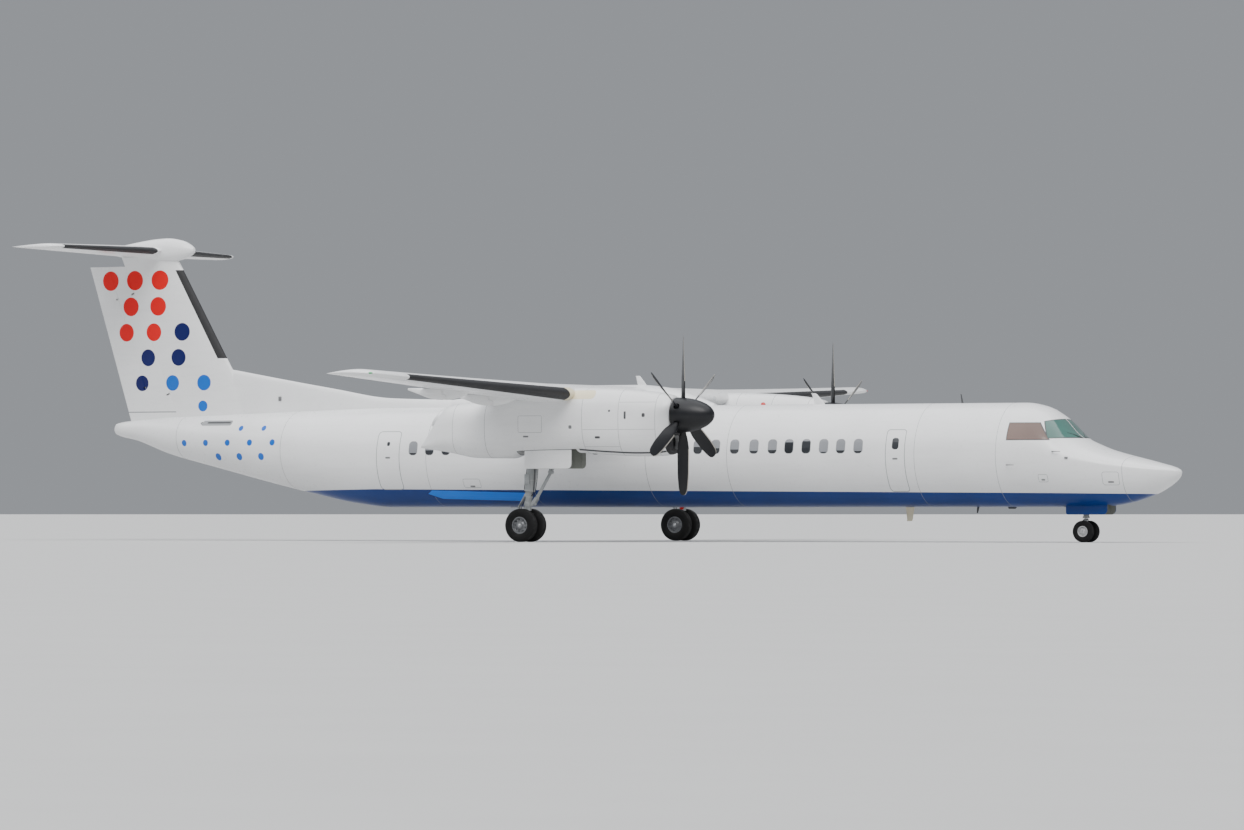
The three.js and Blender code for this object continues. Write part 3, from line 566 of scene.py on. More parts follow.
def nose_body(hinge, radii, ends, grow=0):
    """The space of a moving surface: round ahead of its hinge line, open behind it."""
    matrix, length = hinge
    rings = []
    for y in ends:
        radius = radii[0] + (radii[1] - radii[0]) * y / length + grow
        turns = np.linspace(math.pi / 2, -math.pi / 2, 19)
        nose = [(radius * math.cos(t), y, radius * math.sin(t)) for t in turns]
        rings.append([(-FAR / 2, y, radius), *nose, (-FAR / 2, y, -radius)])
    return loft(rings).moved(matrix)


TONGUE = Values(half=16, end=34, pin=12, hole=12.4)


def tongue_hinge(hinge, place, reach, proud=0.0):
    """A tongue of the fixed side, the slot that it needs in the moving side, and its pin."""
    half, end = TONGUE.half, TONGUE.end

    def along(length, radius):
        return rod((0, place - length, 0), (0, place + length, 0), radius)

    bar = box((0, place - half, -end * 0.8), (reach, place + half, end * 0.8))
    tongue = bar + along(half, end) - along(half + 3, TONGUE.hole)
    room = half + RUN - proud
    slot = box((proud - end - RUN, place - room, -reach), (reach * 2, place + room, reach))
    return [part.moved(hinge[0]) for part in (tongue, slot, along(room + 8, TONGUE.pin))]


def split_at(carrier, skin, ends, places, slab=None, room=None, reach=0, gap=RUN, proud=None):
    """Splits a surface off its carrier along a hinge line, whose ends each have a point and the
    surface's half thickness. Paint only is cut: it gets no hinges, and proud is the distance that
    it lies outside the skin."""
    lift = proud or 0.0
    hinge = hinge_frame(*(point for point, _ in ends))
    radii = [half * 1.15 for _, half in ends]
    ends = [-reach, hinge[1] + reach]
    moving = skin & nose_body(hinge, radii, ends, lift)
    space = nose_body(hinge, radii, [ends[0] - gap, ends[1] + gap], RUN - lift)
    if slab:
        moving, space = moving & slab, space & room
    fixed = carrier - space
    for place in places:
        radius = radii[0] + (radii[1] - radii[0]) * place / hinge[1]
        tongue, slot, pin = tongue_hinge(hinge, place, radius + RUN + 40, lift)
        moving = moving - slot
        if proud is None:
            moving, fixed = moving + pin, fixed + tongue
    return fixed, moving


# Materials

# Scales of the drift of a colour, of streaks and of spots, in waves a metre
DRIFT, STREAKS, SPOTTED = 0.7, 1.4, 11.0


def feed(tree, node, inputs):
    """Gives sockets of a node, by name or number, a value or a link to another node's socket."""
    for key, value in inputs:
        if isinstance(value, bpy.types.NodeSocket):
            tree.links.new(value, node.inputs[key])
        else:
            node.inputs[key].default_value = value


def linked(tree, kind, inputs=(), **settings):
    node = tree.nodes.new(kind)
    for key, value in settings.items():
        setattr(node, key, value)
    feed(tree, node, inputs)
    return node


def noise(tree, place, scale, detail=3.0, stretch=(1, 1, 1), roughness=0.55):
    mapping = linked(tree, "ShaderNodeMapping", [("Vector", place), ("Scale", stretch)])
    inputs = [("Vector", mapping.outputs[0]), ("Scale", scale), ("Detail", detail), ("Roughness", roughness)]
    return linked(tree, "ShaderNodeTexNoise", inputs).outputs["Fac"]


def ranged(tree, value, low, high, to_low, to_high):
    inputs = [(0, value), (1, low), (2, high), (3, to_low), (4, to_high)]
    return linked(tree, "ShaderNodeMapRange", inputs).outputs[0]


def mixed(tree, factor, a, b):
    inputs = [(0, factor), (6, a), (7, b)]
    return linked(tree, "ShaderNodeMix", inputs, data_type="RGBA", blend_type="MIX").outputs[2]


def calculated(tree, operation, a, b):
    return linked(tree, "ShaderNodeMath", [(0, a), (1, b)], operation=operation).outputs[0]


def brightened(colour, share, lift=0.0):
    return (*(min(1.0, c * share + lift) for c in colour), 1.0)


def surface(name, colour, rough, tone, dirt, metal=0.0, grime=(0.2, 0.19, 0.17), streak=(0.5, 5, 5),
            coat=0.0, bump=0.02, grain=45.0, spread=0.08, wear=0.0, specular=0.5):
    """A painted, rubber or metal surface: tone is the share by which its colour drifts, dirt the
    share of grime in streaks, grain the scale of its finest relief and wear the share of worn edges."""
    material = bpy.data.materials.new(name)
    material.use_nodes = True
    tree = material.node_tree
    shader = tree.nodes["Principled BSDF"]
    place = linked(tree, "ShaderNodeTexCoord").outputs["Object"]
    drift = ranged(tree, noise(tree, place, DRIFT), 0.3, 0.7, 0.0, 1.0)
    base = mixed(tree, drift, brightened(colour, 1 - tone), brightened(colour, 1 + tone * 0.6))
    streaks = noise(tree, place, STREAKS, 5.0, streak, 0.6)
    spots = noise(tree, place, SPOTTED, 4.0)
    fine = noise(tree, place, grain, 2.0)
    soiled = calculated(tree, "MULTIPLY", ranged(tree, streaks, 0.5, 0.78, 0.0, dirt),
                        ranged(tree, spots, 0.35, 0.65, 0.5, 1.0))
    base = mixed(tree, soiled, base, (*grime, 1.0))
    if wear:
        pointed = linked(tree, "ShaderNodeNewGeometry").outputs["Pointiness"]
        edge = calculated(tree, "MULTIPLY", ranged(tree, pointed, 0.52, 0.6, 0.0, wear),
                          ranged(tree, spots, 0.4, 0.6, 0.2, 1.0))
        base = mixed(tree, edge, base, brightened(colour, 1.8, 0.12))
    feed(tree, shader, [("Base Color", base)])
    half = spread / 2
    shine = calculated(tree, "ADD", ranged(tree, spots, 0.3, 0.7, rough - half, rough + half), soiled)
    feed(tree, shader, [("Roughness", shine), ("Metallic", metal), ("Specular IOR Level", specular),
                        ("Coat Weight", coat), ("Coat Roughness", 0.12)])
    relief = [("Strength", 0.35), ("Distance", bump * 0.01), ("Height", fine)]
    feed(tree, shader, [("Normal", linked(tree, "ShaderNodeBump", relief).outputs[0])])
    return material


COLOURED = dict(coat=0.1, spread=0.02, specular=0.3)
LENS = dict(coat=0.6, bump=0.05, grain=220.0)
# Columns: name, colour, roughness, share of drift, share of grime, other values of surface()
FINISHES = [
    ("white_paint", (0.85, 0.855, 0.86), 0.3, 0.035, 0.09, dict(coat=0.3)),
    ("blue_paint", (0.002, 0.036, 0.2), 0.3, 0.13, 0.0, COLOURED),
    ("light_blue_paint", (0.003, 0.2, 0.86), 0.3, 0.08, 0.0, COLOURED),
    ("red_paint", (0.72, 0.002, 0.004), 0.32, 0.08, 0.0, COLOURED),
    ("propeller_black", (0.006, 0.0065, 0.0085), 0.4, 0.2, 0.06, dict(grime=(0.09, 0.085, 0.08), coat=0.06,
     streak=(3, 3, 3), specular=0.35)),
    ("boot_rubber", (0.02, 0.02, 0.022), 0.55, 0.15, 0.12, dict(grime=(0.12, 0.11, 0.1), streak=(2, 0.6, 2),
     bump=0.05, specular=0.35)),
    ("bare_metal", (0.56, 0.53, 0.47), 0.34, 0.1, 0.2, dict(metal=0.85, bump=0.03)),
    # dark_opening is painted shade: near black for the shaded duct inside each intake
    ("dark_opening", (0.012, 0.012, 0.013), 0.8, 0.2, 0.1, dict(grime=(0.05, 0.05, 0.05))),
    ("window_dark", (0.03, 0.033, 0.038), 0.12, 0.35, 0.02, dict(coat=0.8, bump=0.01)),
    ("windshield", (0.05, 0.15, 0.125), 0.1, 0.3, 0.03, dict(coat=0.5, bump=0.01)),
    ("engine_metal", (0.17, 0.18, 0.19), 0.5, 0.2, 0.3, dict(metal=0.7, bump=0.2)),
    # gear_paint is grey paint made darker to stand in for the shade under the nacelles: partly painted shade
    ("gear_paint", (0.3, 0.315, 0.32), 0.42, 0.1, 0.3, dict(streak=(3, 3, 1.2), wear=0.25)),
    ("gear_steel", (0.6, 0.61, 0.62), 0.2, 0.08, 0.15, dict(metal=0.95, streak=(3, 3, 1))),
    ("tyre_rubber", (0.007, 0.007, 0.0075), 0.8, 0.25, 0.3, dict(grime=(0.05, 0.047, 0.042), streak=(3, 3,
     3), bump=0.3, grain=70.0, wear=0.35, specular=0.3)),
    ("rim_metal", (0.2, 0.205, 0.215), 0.4, 0.1, 0.35, dict(metal=0.5, streak=(4, 4, 4), wear=0.3)),
    ("navy_paint", (0.004, 0.008, 0.1), 0.32, 0.1, 0.0, COLOURED),
    ("pale_blue_paint", (0.004, 0.125, 0.56), 0.32, 0.08, 0.0, COLOURED),
    ("seam", (0.3, 0.31, 0.32), 0.6, 0.15, 0.2, {}),
    ("blind", (0.27, 0.28, 0.3), 0.2, 0.15, 0.05, dict(coat=0.5, bump=0.01)),
    ("side_window", (0.145, 0.088, 0.07), 0.12, 0.2, 0.03, dict(coat=0.4, bump=0.01)),
    ("cream_paint", (0.8, 0.72, 0.52), 0.4, 0.06, 0.12, dict(coat=0.2)),
    ("soot", (0.09, 0.085, 0.08), 0.7, 0.3, 0.4, dict(metal=0.3)),
    # seal also colours the strip just above each cowl's lowest line, where it is painted shade
    ("seal", (0.06, 0.062, 0.066), 0.6, 0.15, 0.1, {}),
    ("rim_pale", (0.52, 0.525, 0.53), 0.4, 0.1, 0.3, dict(metal=0.2, streak=(4, 4, 4), wear=0.3)),
    ("vent_grey", (0.2, 0.205, 0.21), 0.5, 0.15, 0.25, dict(metal=0.4)),
    ("cabin_lining", (0.58, 0.57, 0.54), 0.6, 0.06, 0.05, {}),
    ("carpet", (0.045, 0.055, 0.085), 0.95, 0.25, 0.1, dict(bump=0.8, grain=240.0)),
    ("tread", (0.07, 0.07, 0.072), 0.85, 0.2, 0.25, dict(bump=0.6, grain=160.0)),
    # The bays' primer is made darker for the shade inside the bays and on the doors' inner faces: partly
    # painted shade
    ("bay_primer", (0.24, 0.25, 0.225), 0.6, 0.12, 0.35, {}),
    ("hose", (0.025, 0.025, 0.027), 0.6, 0.2, 0.2, {}),
    ("lamp_red", (0.6, 0.01, 0.008), 0.12, 0.15, 0.02, LENS),
    ("lamp_green", (0.01, 0.35, 0.09), 0.12, 0.15, 0.02, LENS),
    ("lamp_white", (0.72, 0.74, 0.76), 0.12, 0.15, 0.02, LENS),
]
MATERIALS = {name: surface(name, *values, **more) for name, *values, more in FINISHES}


def piece(name, shape, materials, choose=None, replaces="", rides_on="airframe", sharp=30):
    """Makes a shape an object of the scene. choose gives each face's place in the row of
    materials from the faces' middles and normals, which are rows of an array."""
    materials, replaces = materials.split(), replaces.split()
    mesh = shape.mesh.copy()
    mesh.name = name
    mesh.materials.clear()
    for key in materials:
        mesh.materials.append(MATERIALS[key])
    if choose:
        count = len(mesh.polygons)
        middles, normals = np.empty(count * 3), np.empty(count * 3)
        mesh.polygons.foreach_get("center", middles)
        mesh.polygons.foreach_get("normal", normals)
        picked = choose(middles.reshape(-1, 3), normals.reshape(-1, 3))
        mesh.polygons.foreach_set("material_index", np.asarray(picked, np.int32))
    mesh.transform(Matrix.Scale(0.001, 4) @ Matrix.Translation((ROW_SHIFT, 0, 0)))
    mesh.shade_smooth()
    mesh.set_sharp_from_angle(angle=math.radians(sharp))
    obj = bpy.data.objects.new(name, mesh)
    bpy.context.scene.collection.objects.link(obj)
    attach(obj, rides_on)
    if replaces:
        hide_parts(*replaces)
    materials[0] in SLOTS


def paired(rows):
    """Makes a left and a right piece of each left-hand shape. The columns are the arguments of
    piece(), and a star in a name stands for the side."""
    for side, sign in SIDES:
        for name, shape, *more in rows:
            more = [word.replace("*", side) if isinstance(word, str) else word for word in more]
            piece(name.replace("*", side), shape.sided(sign), *more)


# Fuselage


def belly_line(x):
    return np.interp(x, *zip(*BELLY_LINE))


def fuselage(start, stop, grow=0.0):
    # rows of the belly's edge follow each bend of its line
    rows = smooth_rows(FUSELAGE, stations(FUSELAGE, start, stop))
    return loft([oval(row, grow=grow, split=belly_line(row[0])) for row in rows], halved=True)


def half_width(x, z):
    """Half the fuselage's width at a station and a height above the ground."""
    _, bottom, middle, top, half = smooth_rows(FUSELAGE, [x])[0]
    rise = z - BELLY_Z - middle
    limit = top - middle if rise > 0 else middle - bottom
    return half * math.sqrt(max(0.0, 1 - (rise / limit) ** 2))


NOSE_BAY = Values(front=14720, back=13420, half=290, top=BELLY_Z + 700)
DOOR = Values(x=10400, width=760, sill=BELLY_Z + 480, height=1650, thick=80, depth=1250)
AROUND_DOOR = (9000, 12000)
HINGE = Values(z=DOOR.sill + 4, inset=18, radius=16, length=60, gap=0.4, offset=230, relief=32, web=8,
               deep=42)
STEPS = Values(count=4, first=260, pitch=330, deep=230, thick=30, half=300)

nose_bay = (NOSE_BAY.back, -NOSE_BAY.half, 0), (NOSE_BAY.front, NOSE_BAY.half, NOSE_BAY.top)
door_low = np.array([DOOR.x - DOOR.width / 2, 0, DOOR.sill])
door_high = np.array([DOOR.x + DOOR.width / 2, 2000, DOOR.sill + DOOR.height])
door_gap = [RUN, 0, RUN]
entrance_low = door_low + [0, FUSELAGE_R - DOOR.depth, 0]
hinge_y = half_width(DOOR.x, HINGE.z) - HINGE.inset


def knuckle(start, stop, radius=HINGE.radius):
    return rod((start, hinge_y, HINGE.z), (stop, hinge_y, HINGE.z), radius)


door = fuselage(*AROUND_DOOR) - fuselage(AROUND_DOOR[0] - 100, AROUND_DOOR[1] + 100, -DOOR.thick)
door = door & box(door_low + door_gap, door_high - door_gap)
skin = fuselage(FUSELAGE[0][0], NOSE_X) - box(entrance_low, door_high) - box(*nose_bay)
skin = skin - knuckle(door_low[0], door_high[0], HINGE.relief)
for side in (-1, 1):
    start = DOOR.x + side * HINGE.offset - HINGE.length / 2
    stop = start + HINGE.length
    for a, b in ((start - HINGE.length, start - HINGE.gap), (stop + HINGE.gap, stop + HINGE.length)):
        door = door - knuckle(a - RUN, b + RUN, HINGE.radius + RUN)
        web = box((a, hinge_y - HINGE.relief, HINGE.z - HINGE.deep), (b, hinge_y - HINGE.web, HINGE.z))
        skin = skin + (knuckle(a, b) + web)
    door = door + knuckle(start, stop)


def in_box(points, low, high, margin=1.5):
    return ((points > np.asarray(low) - margin) & (points < np.asarray(high) + margin)).all(axis=1)


def fuselage_faces(middles, normals):
    x, _, z = middles.T
    picked = np.where(z < BELLY_Z + belly_line(x), 1, 0)
    inside = in_box(middles, entrance_low - 60, door_high)
    picked[inside] = np.where(middles[inside, 2] < DOOR.sill + 2, 3, 2)
    picked[in_box(middles, *nose_bay)] = 4
    return picked


# The nose bay's faces take the darker primer, which is partly painted shade
piece("fuselage_skin", skin, "white_paint blue_paint cabin_lining carpet bay_primer",
      fuselage_faces, "radome forward_fuselage centre_fuselage aft_fuselage")
for i in range(STEPS.count):
    z = DOOR.sill + STEPS.first + i * STEPS.pitch
    skin_y = half_width(DOOR.x, z) - DOOR.thick / 2
    low = (DOOR.x - STEPS.half, skin_y - STEPS.deep, z - STEPS.thick / 2)
    door = door + box(low, (DOOR.x + STEPS.half, skin_y, z + STEPS.thick / 2))


def door_faces(middles, normals):
    x, y, z = middles.T
    outer = np.array([half_width(a, c) for a, c in zip(x, z)]) - y < 12
    tread = (np.abs(normals[:, 2]) > 0.9) & ~outer
    return np.where(outer, np.where(z < BELLY_Z + belly_line(x), 1, 0), np.where(tread, 3, 2))


piece("airstair", door, "white_paint blue_paint cabin_lining tread", door_faces, "airstair_door",
      "airstair_door")

# Wing

WING_BOOT = (5120, 12500)
BOOTED = "white_paint boot_rubber"
# Each flap's span and the places of its fairings along its hinge line
INNER_FLAP, OUTER_FLAP = ((1470, 3690), (430, 1850)), ((5110, 9800), (780, 3400))
FLAP = Values(share=0.715, drop=300, setback=50, nose=72, width=200)
AILERON = Values(ends=(9950, 13560), share=0.73, places=(500, 3100))


def wing_between(start, stop, grow=0):
    return loft([wing_ring(row_at(WING, y), grow=grow) for y in stations(WING, start, stop, 450)])


def centre_skin(grow=0):
    return loft([wing_ring([y, *WING[1][1:]], grow=grow) for y in (-WING_JOINT, WING_JOINT)])


def flap_off(carrier, skin, ends, places):
    hinge = hinge_frame(*(wing_point(y, FLAP.share, FLAP.drop)[0] for y in ends))
    matrix, length = hinge

    def behind(setback, gap=0):
        return box((-FAR / 2, -gap, -FAR / 4), (-setback, length + gap, FAR / 4)).moved(matrix)

    room = behind(FLAP.setback - RUN, RUN)
    moving, fixed = skin & behind(FLAP.setback), carrier - room
    for place in places:
        canoe = body(CANOE, step=60, y=place, z=0, sides=32).moved(matrix)
        radii, reach = [FLAP.nose] * 2, [place - FLAP.width, place + FLAP.width]
        still = canoe - nose_body(hinge, radii, reach, RUN) - room
        swung = canoe & (nose_body(hinge, radii, reach) + behind(FLAP.setback))
        tongue, slot, pin = tongue_hinge(hinge, place, FLAP.nose + RUN + 60)
        moving = moving + (swung - slot + pin)
        fixed = fixed + still + tongue
    return fixed, moving


left_half = box((-FAR, 0, 0), (FAR, FAR, FAR * 2))
centre_left, inner_flap = flap_off(centre_skin() & left_half, centre_skin(), *INNER_FLAP)
outer_skin = wing_between(WING_JOINT, HALF_SPAN)
outer_flapped, outer_flap = flap_off(outer_skin, outer_skin, *OUTER_FLAP)
aileron_ends = [wing_point(y, AILERON.share) for y in AILERON.ends]
outer_wing, aileron = split_at(outer_flapped, outer_skin, aileron_ends, AILERON.places)
outer_wing = with_edges_at(outer_wing, 1, WING_BOOT)
piece("wing_centre", centre_left + centre_left.sided(-1), "white_paint", replaces="centre_wing")
paired([
    ("wing_outer_*", outer_wing, BOOTED, boot_faces(WING, 1, WING_BOOT), "outer_wing_*"),
    ("inner_flap_*", inner_flap, "white_paint", None, "flap_inner_*", "flap_inner_*"),
    ("outer_flap_*", outer_flap, "white_paint", None, "flap_outer_*", "flap_outer_*"),
    ("aileron_skin_*", aileron, "white_paint", None, "aileron_*", "aileron_*"),
])
# The fairing leaves room for the flaps
FAIRING = Values(bottom=BELLY_Z + 2250, flap_gap=30, flap_front=-200)
flap_room = box((-FAR, INNER_FLAP[0][0] - FAIRING.flap_gap, 0), (FAIRING.flap_front, FAR, FAR))
fairing = body(WING_FAIRING) - fuselage(-8000, 8000, SEATED) - centre_skin(SEATED)
fairing = fairing - box((-FAR, -FAR, 0), (FAR, FAR, FAIRING.bottom)) - flap_room - flap_room.sided(-1)
piece("root_fairing", fairing, "white_paint", replaces="wing_fairing")

# Fin and rudders

FIN_BOOT = (BELLY_Z + 4080, BELLY_Z + 6520)
RUDDER = Values(bottom=2640, top=6640, gap=28, reach=700)
# The share of the chord of each hinge line and the places of its hinges
FORE, TRAILING = (0.62, (500, 3500)), (0.8, (700, 3300))


def fin_skin(grow=0):
    return loft([fin_ring(row_at(FIN, z), grow) for z in stations(FIN, FIN[0][0], FIN[-1][0], 600)])


def fin_point(height, share):
    z, leading, trailing, thickness = row_at(FIN, BELLY_Z + height)
    chord = leading - trailing
    return (leading - share * chord, 0, z), float(foil_shape(share, thickness, 0)[1]) * chord


def rudder_split(carrier, skin, share, places, proud=None):
    ends = [fin_point(height, share) for height in (RUDDER.bottom, RUDDER.top)]
    bottom = BELLY_Z + RUDDER.bottom
    slab = box((-FAR * 4, -FAR, bottom), (FAR, FAR, BELLY_Z + RUDDER.top))
    room = box((-FAR * 4, -FAR, bottom - RUDDER.gap), (FAR, FAR, FAR * 2))
    return split_at(carrier, skin, ends, places, slab, room, reach=RUDDER.reach, gap=0, proud=proud)


def bullet(grow=0):
    return body(BULLET, step=80, z=TAILPLANE_Z, grow=grow, sides=64)


fin_body = fin_skin() + body(DORSAL, sides=32) - fuselage(FUSELAGE[0][0], 0, SEATED) - bullet(SEATED)
fin, whole_rudder = rudder_split(fin_body, fin_skin(), *FORE)
fore_rudder, trailing_rudder = rudder_split(whole_rudder, fin_skin(), *TRAILING)
fin = with_edges_at(fin, 2, FIN_BOOT)
piece("fin_skin", fin, BOOTED, boot_faces(FIN, 2, FIN_BOOT), "fin")
piece("rudder_fore", fore_rudder, "white_paint", None, "fore_rudder", "fore_rudder")
piece("rudder_trailing", trailing_rudder, "white_paint", None, "trailing_rudder", "trailing_rudder")

# Tailplane and elevators

ELEVATOR = Values(x=-15190, ends=(300, 4470), places=(500, 3600))
TAIL_BOOT = (420, 4380)


def elevator_point(y):
    _, leading, trailing, _, _ = row_at(TAILPLANE, y)
    return chord_point(TAILPLANE, y, (leading - ELEVATOR.x) / (leading - trailing))


tail_half = loft([wing_ring(row, 0) for row in TAILPLANE])
elevator_ends = [elevator_point(y) for y in ELEVATOR.ends]
tail_left, elevator = split_at(tail_half, tail_half, elevator_ends, ELEVATOR.places)
tail_left = with_edges_at(tail_left, 1, TAIL_BOOT)
piece("tailplane_skin", tail_left + tail_left.sided(-1) + bullet(), BOOTED,
      boot_faces(TAILPLANE, 1, TAIL_BOOT), "tailplane")
paired([("elevator_skin_*", elevator, "white_paint", None, "elevator_*", "elevator_*")])

# Nacelles, cowls and engines

NACELLE_FORM = {"y": HALF_TRACK, "sides": 80, "power": 2.5}
GEAR_BAY = Values(front=1660, back=-60, half=350, top=2900)
JET_PIPE = Values(x=-2700, z=BELLY_Z + 2330, radius=215, depth=900)
COWL_WALL, FRONT_WALL, SHAFT_HOLE = 45, 180, 230
INTAKE = (1475, 1670, 1865, 310)


def engine_body(table, start, stop, grow=0):
    return body(table, start, stop, step=100, grow=grow, **NACELLE_FORM)


def intake(start, stop, grow=0.0):
    """The space of the air intake's mouth between two stations."""
    return loft([oval((x, *INTAKE), grow=grow, **NACELLE_FORM) for x in (start, stop)])


gear_bay = [(x, HALF_TRACK + side * GEAR_BAY.half, z)
            for x, side, z in ((GEAR_BAY.back, -1, 0), (GEAR_BAY.front, 1, GEAR_BAY.top))]
pipe_ends = [(JET_PIPE.x + shift, HALF_TRACK, JET_PIPE.z) for shift in (-600, JET_PIPE.depth)]
nacelle = engine_body(NACELLE, NACELLE[0][0], COWL_JOINT) - centre_skin(SEATED)
nacelle = nacelle - box(*gear_bay) - rod(*pipe_ends, JET_PIPE.radius, sides=48)
front_wall = (COWL_FRONT - FRONT_WALL - 120, COWL_FRONT + 100)
cowl = engine_body(COWL, COWL_JOINT, COWL_FRONT)
cowl = cowl - engine_body(COWL, COWL_JOINT - 20, COWL_FRONT - FRONT_WALL, -COWL_WALL) - centre_skin(SEATED)
cowl = cowl - rod(*((x, HALF_TRACK, HUB_Z) for x in front_wall), SHAFT_HOLE, sides=48) - intake(*front_wall)


def nacelle_faces(middles, normals):
    x, y, z = middles.T
    radius = np.hypot(np.abs(y) - HALF_TRACK, z - JET_PIPE.z)
    tube = (x < JET_PIPE.x + JET_PIPE.depth + 5) & (radius < JET_PIPE.radius + 1)
    return np.where(in_box(middles, *gear_bay, 1.0), 1, np.where(tube, 2, 0))


# Propellers: both turn the same way, so the right one is a copy and not a mirror image. They are
# made about the hub and then moved to it.

BLADES, BLADE_HOLE = 6, 84
# Blade sections. Columns: radius, chord, thickness, pitch in degrees
BLADE = [
    (150, 130, 105, 58),
    (400, 130, 105, 58),
    (620, 235, 52, 50),
    (1000, 325, 34, 42),
    (1500, 330, 22, 35),
    (1800, 290, 16, 32),
    (1960, 235, 12, 31),
    (2030, 160, 8, 30),
    (2055, 60, 4, 30),
]
SPINNER = Values(back=4430 - HUB_X, front=5480 - HUB_X, radius=455, wall=16, hub=170, hub_front=4870 - HUB_X)
SHAFT = Values(tip=4550 - HUB_X, bore=70.8)


def blade_ring(row, sides=32):
    radius, chord, thick, pitch = row
    lean = math.radians(pitch)
    turns = np.arange(sides) / sides * 2 * math.pi
    along, side = np.cos(turns) * chord / 2, np.sin(turns) * thick / 2
    x, y = along * math.sin(lean) + side * math.cos(lean), side * math.sin(lean) - along * math.cos(lean)
    return np.stack((x, y, np.full(sides, radius)), axis=1)


def on_shaft(start, stop, radius):
    return rod((start, 0, 0), (stop, 0, 0), radius, sides=48)


def spinner_curve(wall, count):
    radius, start = SPINNER.radius - wall, SPINNER.back + 40
    angles = [i / count * math.pi / 2 for i in range(count + 1)]
    return [(radius * math.cos(a), start + (SPINNER.front - start - wall) * math.sin(a)) for a in angles]


blade = loft([blade_ring(row) for row in smooth_rows(BLADE, stations(BLADE, 150, 2055, 60))])
blade_turns = [Matrix.Rotation(i / BLADES * 2 * math.pi, 4, "X") for i in range(BLADES)]
hub = on_shaft(SPINNER.back, SPINNER.hub_front, SPINNER.hub)
bore = on_shaft(SPINNER.back - 10, SHAFT.tip + 40, SHAFT.bore)
propeller = united(hub, *(blade.moved(t) for t in blade_turns)) - bore
spinner = turned([
    *reversed(spinner_curve(SPINNER.wall, 12)), (SPINNER.radius - SPINNER.wall, SPINNER.back + 20),
    (SPINNER.hub + SEATED, SPINNER.back + 20), (SPINNER.hub + SEATED, SPINNER.back),
    (SPINNER.radius - 6, SPINNER.back), (SPINNER.radius, SPINNER.back + 8), *spinner_curve(0, 28)], axis="x")
blade_room = rod((0, 0, 250), (0, 0, 700), BLADE_HOLE, sides=24)
spinner = combined("DIFFERENCE", spinner, *(blade_room.moved(t) for t in blade_turns))


def blade_faces(middles, normals):
    """Metal along the blades' leading edges, from faces placed about the hub."""
    x, y, z = middles.T
    y = np.where(np.abs(y) > HALF_TRACK / 2, y - np.sign(y) * HALF_TRACK, y)
    radius, turn = np.hypot(y, z - HUB_Z), np.arctan2(-y, z - HUB_Z)
    pitch = 2 * math.pi / BLADES
    sideways = -radius * np.sin(turn - np.round(turn / pitch) * pitch)
    _, chord, _, lean = (np.interp(radius, [row[0] for row in BLADE], column) for column in zip(*BLADE))
    lean = np.radians(lean)
    along = (x - HUB_X) * np.sin(lean) - sideways * np.cos(lean)
    return np.where((radius > 900) & (along > 0.86 * chord / 2), 1, 0)


# The nacelles' gear bays take the darker primer, which is partly painted shade
for side, sign in SIDES:
    node = f"propeller_{side}"
    piece(f"nacelle_skin_{side}", nacelle.sided(sign), "white_paint bay_primer engine_metal", nacelle_faces,
          f"nacelle_{side}")
    piece(f"cowl_skin_{side}", cowl.sided(sign), "white_paint", replaces=f"cowl_{side}")
    place = (HUB_X, sign * HALF_TRACK, HUB_Z)
    piece(f"blades_{side}", propeller.shifted(*place), "propeller_black bare_metal", blade_faces, node, node)
    piece(f"spinner_shell_{side}", spinner.shifted(*place), "propeller_black", None, f"spinner_{side}", node)

# Wheels

MAIN_TYRE = Values(radius=432, width=270, rim=222, offset=250, axle=45)
NOSE_TYRE = Values(radius=279.5, width=165, rim=140, offset=180, axle=30)
# Half of the tyre's section: share of the wall's height and share of the width
SHOULDER = [(0.0, 0.36), (0.12, 0.43), (0.3, 0.485), (0.5, 0.5), (0.68, 0.485), (0.82, 0.445), (0.92, 0.39),
            (0.975, 0.335)]
# The dished part of a rim: share of its radius and of half its width
RIM = [(0.55, 0.5), (0.82, 0.42), (0.86, 0.5), (0.88, 1), (0.98, 1)]
GROOVES, BOLTS = 4, 9


def tyre_shape(tyre):
    wall, width = tyre.radius - tyre.rim, tyre.width
    left = [(tyre.rim + r * wall, y * width) for r, y in SHOULDER]
    deep, half = 0.035 * wall, 0.014 * width
    wide = half * 1.4
    crown = []
    for k in range(GROOVES):
        y = width * 0.25 * (1 - 2 * k / (GROOVES - 1))
        top = tyre.radius - 0.004 * wall * (abs(y) / (width * 0.25)) ** 2
        crown += [(top, y + wide), (top - deep, y + half), (top - deep, y - half), (top, y - wide)]
    right = [(r, -y) for r, y in reversed(left)]
    return turned([*left, *crown, *right, (tyre.rim, 0)], closed=True)


def rim_shape(tyre):
    rim, half, hole = tyre.rim, 0.37 * tyre.width, tyre.axle + 0.35
    right = [(hole, half), (hole + 0.16 * rim, half), (hole + 0.18 * rim, half * 0.82)]
    right += [(rim * r, half * y) for r, y in RIM]
    right.append((rim - SEATED, half * 0.96))
    return turned([*((r, -y) for r, y in right), *reversed(right)], sides=64, closed=True)


def around(shape, count, first=0.0):
    return [shape.moved(Matrix.Rotation(i / count * 2 * math.pi + first, 4, "Y")) for i in range(count)]


